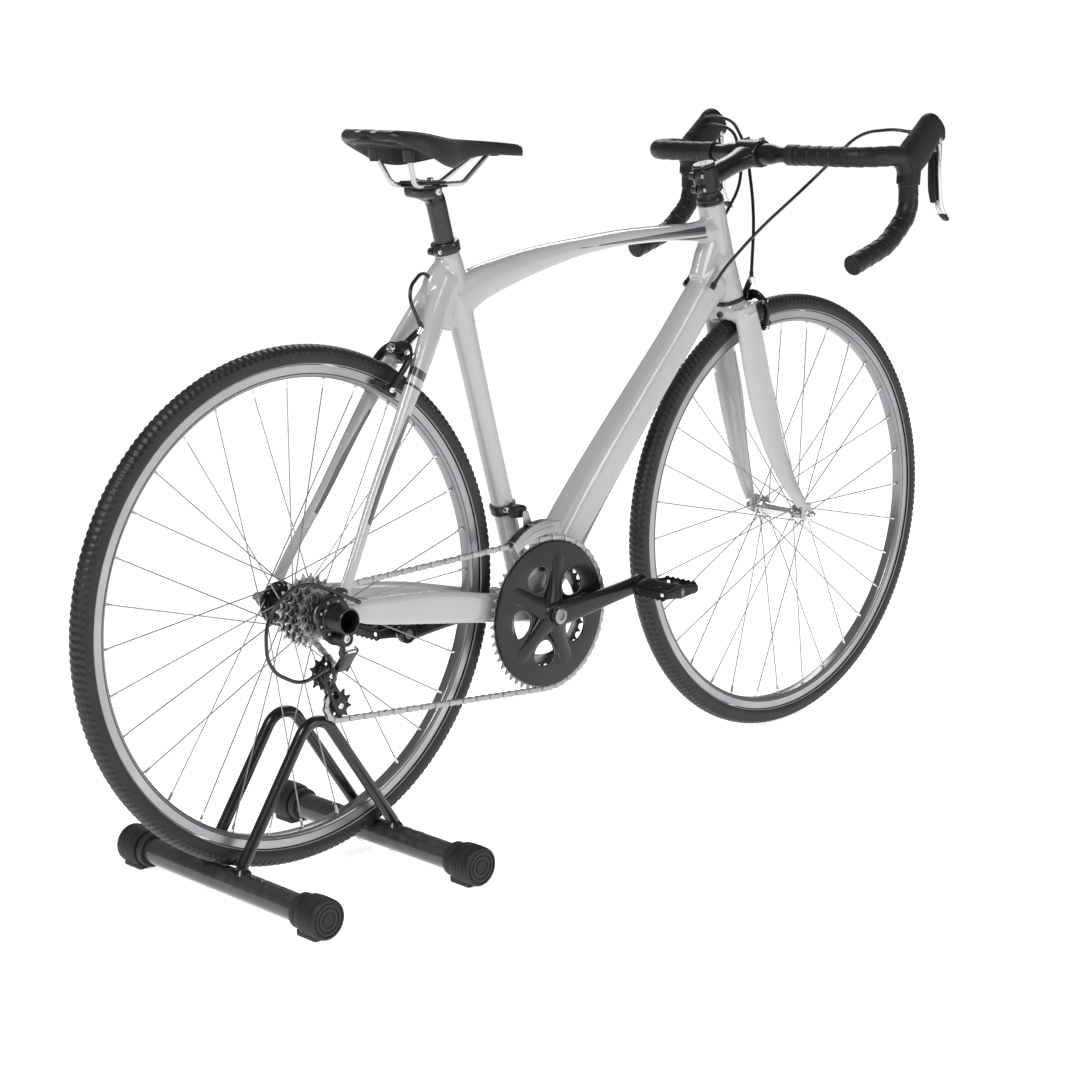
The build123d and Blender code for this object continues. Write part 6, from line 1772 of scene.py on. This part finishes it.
def buildFrontShifter():
    band = bracket + seatUp * 0.158
    kit = Kit()
    r = seatTubeR
    kit.add(lathe(band - seatUp * 0.007, seatUp, [(0, r + 0.0002), (0, r + 0.0024), (0.0008, r + 0.003),
        (0.0132, r + 0.003), (0.014, r + 0.0024), (0.014, r + 0.0002)], 56, closed=True))
    clay = Clay()
    body = band + Vector((0.002, -0.027, -0.002))
    clay.add(*limb([(body.x, body.y + 0.0068, body.z, 0.0012, 0.009),
        (body.x, body.y + 0.004, body.z, 0.0032, 0.0098)], power=3, steps=3, count=20))
    block = [(body.x - 0.0115, body.y, body.z - 0.001, 0.0066, 0.0078),
        (body.x - 0.004, body.y, body.z, 0.0078, 0.0094), (body.x + 0.006, body.y, body.z - 0.001, 0.0078,
        0.0092), (body.x + 0.0122, body.y, body.z - 0.002, 0.0066, 0.0074)]
    clay.add(*limb(block, power=3.4, steps=5, count=32))
    clay.add(*limb([(band.x, band.y - 0.014, band.z, 0.005, 0.0086),
        (band.x + 0.002, band.y - 0.021, band.z - 0.001, 0.005, 0.0092)], power=3, steps=4, count=24,
        wide=sideways))
    mesh = clay.fused(0.001, passes=3)
    kit.add(shellOf(mesh), 1)
    for z in (0.0045, -0.0035):
        kit.add(bolt(body + Vector((0.0122, 0.001, z)), sideways, 0.0019, 0.0016), 2)
    kit.add(turned(band + Vector((-0.012, -r * 0.9 - 0.003, 0)), -across,
        [(0, 3.8), (6.5, 3.8), (7.5, 3)], 24), 2)
    kit.build("front_derailleur_skin", "frame", [blackMetal, blackPlastic, brightAlloy],
        ("front_derailleur",), angle=40)
    guide = ringRadius + 0.008
    kit = Kit()
    for y, low, high in ((ringY - 0.0075, 82, 124), (ringY + 0.007, 82, 124)):
        loop = [around(bracket, guide, radians(low + (high - low) * k / 14)) for k in range(15)]
        loop += [around(bracket, guide + 0.0196 - 0.004 * abs(k / 7 - 1) ** 2,
            radians(high - (high - low) * k / 14)) for k in range(15)]
        rib = [around(bracket, guide + 0.0062, radians(low + 5 + (high - low - 10) * k / 10))
            for k in range(11)]
        rib += [around(bracket, guide + 0.0095, radians(high - 5 - (high - low - 10) * k / 10))
            for k in range(11)]
        kit.add(plate([rounded(loop, 0.0008, 2)], 0.0014, 0.0004, sidePlane(y), 2))
        out = -1 if y < ringY else 1
        kit.add(plate([rounded(rib, 0.001, 2)], 0.0009, 0.0004, sidePlane(y + out * 0.0007), 2))
    x, z = around(bracket, guide + 0.017, radians(103))
    kit.add(turned(Vector((x, ringY - 0.0075, z)), across, [(0, 2.5), (14.5, 2.5)], 20))
    x2, z2 = around(bracket, guide + 0.0165, radians(122))
    kit.add(limb([(x2, ringY - 0.0074, z2, 0.0024, 0.0009), (x2, ringY, z2 + 0.0006, 0.0024, 0.0009),
        (x2, ringY + 0.0069, z2, 0.0024, 0.0009)], power=3, steps=4, count=16, wide=sideways))
    pivot = Vector((body.x + 0.003, 0, body.z - 0.004))
    tab = rounded([(x - 0.009, z - 0.004), (x + 0.009, z - 0.002), (pivot.x + 0.005, pivot.z + 0.005),
        (pivot.x - 0.005, pivot.z + 0.005)], 0.003)
    kit.add(plate([tab], 0.0014, 0.0004, sidePlane(ringY + 0.007), 2))
    kit.add(turned(Vector((pivot.x, ringY + 0.0072, pivot.z)), across, [(0, 2.5), (16.5, 2.5)], 20))
    kit.build("front_derailleur_cage_skin", "front_mech_cage", [chainSteel],
        ("front_derailleur_cage",), angle=40)


frontBrake, rearBrake = Vector((0.393, 0, 0.6851)), Vector((-0.3003, 0, 0.6753))
stayBack, stayUp = Vector((-0.834, 0, 0.551)), Vector((0.551, 0, 0.834))


def buildCalipers():
    sites = {"front": (frontBrake, across, steerFront, 0.047, 1, "steering"),
        "rear": (rearBrake, -across, stayBack.normalized(), 0.056, -1, "frame")}
    for end, (origin, xAxis, zAxis, reach, flip, holder) in sites.items():
        yAxis = zAxis.cross(xAxis).normalized()

        def local(x, y, z):
            return origin + xAxis * x * mm + yAxis * y * mm + zAxis * z * mm

        for name, s in (("left", flip), ("right", -flip)):
            base = 1.0 if name == "left" else 9.0
            mid, r = base + 3.5, reach / mm
            clay = Clay()
            rows = [(-s * 6, 0, 7.6), (s * 6, 5, 8.2), (s * 18, 7.5, 7.2), (s * 29, 1, 6.2),
                (s * 35.5, -12, 5.6), (s * 35.5, -22, 5.2), (s * 31, -r + 14, 5), (s * 26, -r + 3, 5.4),
                (s * 25.5, -r - 2.5, 4.6)]
            clay.add(*limb([(*local(x, y, mid), 0.0034, w * mm) for x, y, w in rows], power=2.8, steps=5,
                count=28, wide=zAxis))
            if name == "left":
                horn = [(-s * 2, 4, 6.6), (-s * 10, 18, 5), (-s * 19, 31, 4.6), (-s * 24, 37, 4.4)]
                clay.add(*limb([(*local(x, y, mid), 0.0034, w * mm) for x, y, w in horn], power=2.8,
                    steps=5, count=28, wide=zAxis))
            mesh = clay.fused(0.001, passes=3)
            kit = Kit()
            kit.add(shellOf(mesh))
            shoe = base + 5
            block = rounded([(-0.0205, -0.0038), (0.0205, -0.0038), (0.0205, 0.0038), (-0.0205, 0.0038)],
                0.0016)
            lay = Matrix((zAxis, yAxis, zAxis.cross(yAxis))).transposed().to_4x4()
            kit.add(plate([block], 0.0036, 0.0006, Matrix.Translation(local(s * 14.6, -r, shoe)) @ lay,
                1), 1)
            kit.add(plate([block], 0.0036, 0.0009, Matrix.Translation(local(s * 18.3, -r, shoe)) @ lay,
                1), 2)
            for k in range(3):  # water grooves stand as thin dark bars
                kit.add(turned(local(s * 14.6, -r + 3.7, shoe - 12 + 12 * k), -yAxis,
                    [(0, 0.7), (7.4, 0.7)], 8), 2)
            kit.add(turned(local(s * 20, -r, mid), xAxis * s, [(0, 4.8), (5, 4.8), (5.5, 4.2)], 24), 2)
            kit.add(bolt(local(s * 30, -r, mid), xAxis * s, 0.0042, 0.003), 3)
            if name == "left":
                kit.add(turned(local(-s * 24, 29, 4.5), yAxis, [(0, 3.2), (0.4, 3.8), (5.5, 3.8),
                    (6, 4.4), (9.5, 4.4), (10, 3.2), (10.8, 2.8)], 24), 3)
            else:
                kit.add(bolt(local(s * 33, -3, base + 6.9), zAxis, 0.0044, 0.0034), 3)
                kit.add(turned(local(s * 33, -3, base - 0.2), -zAxis, [(0, 4.4), (1.8, 4.4), (2, 4)], 6), 3)
            kit.build("%s_brake_arm_%s_skin" % (end, name), "%s_arm_%s" % (end, name),
                [blackMetal, rubberWall, blackPlastic, brightAlloy], ("%s_brake_arm_%s" % (end, name),),
                angle=40)
        kit = Kit()
        kit.add(turned(local(0, 0, 16.4), zAxis, [(0, 6.4), (0.8, 6.8), (1.4, 6.8), (1.6, 5.2), (5.2, 5),
            (6.4, 3.8), (6.8, 1.2)], 32))
        kit.add(turned(local(0, 0, -6), zAxis, [(0, 7.2), (0.8, 8), (5.8, 8), (6.6, 7)], 32), 1)
        kit.build(end + "_brake_pivot", holder, [brightAlloy, blackMetal])


def hoseRun(corners):
    corners = [Vector(c) for c in corners]
    radii = []
    for a, b, c in zip(corners, corners[1:], corners[2:]):
        turn = (b - a).angle(c - b)
        radii.append(0.45 * min((b - a).length, (c - b).length) / tan(turn / 2))
    return filletPath(corners, radii, 0.003)


def buildHousing(name, routes, body, replaced):
    kit = Kit()
    for corners in routes:
        path = hoseRun(corners)
        kit.add(sweepAlong(path, lambda d, a: 0.0025, 16))
        for (spot, way, _), sign in ((path[0], 1), (path[-1], -1)):
            way = way * sign
            kit.add(turned(spot - way * 0.0005, way, [(0, 1.8), (0, 2.9), (0.5, 3.2), (7.5, 3.2),
                (9, 2.7)], 20), 1)
    return kit.build(name, body, [hoseSleeve, blackMetal], replaced, angle=50)


def buildHousings():
    c, half = barCentre, bar["half"]
    pullFront = frontBrake - across * 0.024 + steerUp * 0.040 + steerFront * 0.0045
    buildHousing("front_brake_housing_skin", [[(c.x + 0.128, half - 0.009, c.z + 0.045),
        (c.x + 0.112, half - 0.036, c.z + 0.049), (c.x + 0.104, half - 0.088, c.z + 0.044),
        (c.x + 0.066, 0.066, c.z + 0.004), (c.x + 0.034, 0.022, c.z - 0.092), pullFront]], "steering",
        ("front_brake_housing",))
    port = Vector((0.2982, 0, 0.7193))
    routes = []
    for s in (-1, 1):
        routes.append([(c.x + 0.126, s * 0.207, c.z + 0.031), (c.x + 0.112, s * 0.182, c.z + 0.036),
            (c.x + 0.104, s * 0.124, c.z + 0.030), (c.x + 0.060, s * 0.066, c.z - 0.044),
            (headLow.x + 0.024, s * 0.040, headLow.z + 0.104), (port.x + 0.022, s * 0.030,
            port.z + 0.024), (port.x, s * 0.027, port.z)])
    thing = buildHousing("control_housings_skin", routes, None, ("control_housings",))
    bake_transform(thing)
    pullRear = rearBrake - across * 0.024 + stayUp * 0.040 + stayBack * 0.0045
    leave = seatTop - seatUp * 0.044 + Vector((-0.026, 0, -0.020))
    buildHousing("rear_brake_housing_skin", [[leave, leave + Vector((-0.026, -0.003, 0.032)),
        (pullRear.x - 0.022, pullRear.y * 0.8, pullRear.z + 0.048), pullRear]], "frame",
        ("rear_brake_housing",))
    y = -89.2
    route = [near(rearAxle, *q) for q in ((44, -77, 12), (0, -84, 34), (-60, y, 62), (-118, y, 26),
        (-118, y, -44), (-64, y, -74), (-22, y, -60))]
    buildHousing("rear_derailleur_housing_skin", [route], "frame", ("rear_derailleur_housing",))
    kit = Kit()
    for s in (-1, 1):  # oval cable ports on the down tube
        run = Vector((0.022, 0, 0.024)).normalized()
        kit.add(limb([(*(Vector((port.x, s * 0.027, port.z)) - run * 0.007), 0.0036, 0.0048),
            (*(Vector((port.x, s * 0.027, port.z)) + run * 0.001), 0.0042, 0.0052)], power=2.2, steps=4,
            count=24))
    kit.build("cable_ports", "frame", [blackPlastic])


def buildFrontAxle():
    kit = Kit()
    kit.add(turned(Vector((frontAxle.x, -0.060, frontAxle.z)), across, [(0, 4.5), (120, 4.5)], 28))
    for s in (-1, 1):
        start = Vector((frontAxle.x, s * 0.0564, frontAxle.z))
        kit.add(turned(start, across * s, [(0, 9.8), (1.2, 9.8), (1.4, 8.4), (6.6, 8.4), (7.8, 7.2)], 6), 1)
        kit.add(turned(start + across * s * 0.007, across * s, [(0, 7.1), (2.2, 6.9), (4.2, 5.2),
            (5.2, 2.4), (5.4, 0.4)], 32), 1)
    kit.build("front_axle_skin", "steering", [steel, brightAlloy], ("front_axle",), angle=40)


buildPeg()
buildHanger()
buildShifter()
buildFrontShifter()
buildCalipers()
buildHousings()
buildFrontAxle()
print("derailleurs, brakes, housings and axles built")

floorMaterial = finish("floorPale", (0.9, 0.9, 0.9), (0.9, 0.9, 0.9), (0.6, 0.7), grain=300, spec=0.1)
floorShader = floorMaterial.node_tree.nodes["Principled BSDF"]
floorShader.inputs["Emission Color"].default_value = (1, 1, 1, 1)
floorShader.inputs["Emission Strength"].default_value = 0.8


def layFloor():
    bm = bmesh.new()
    bmesh.ops.create_grid(bm, x_segments=2, y_segments=2, size=14)
    mesh = bpy.data.meshes.new("floor")
    bm.to_mesh(mesh)
    bm.free()
    mesh.materials.append(floorMaterial)
    floor = bpy.data.objects.new("floor", mesh)
    bpy.context.scene.collection.objects.link(floor)


layFloor()
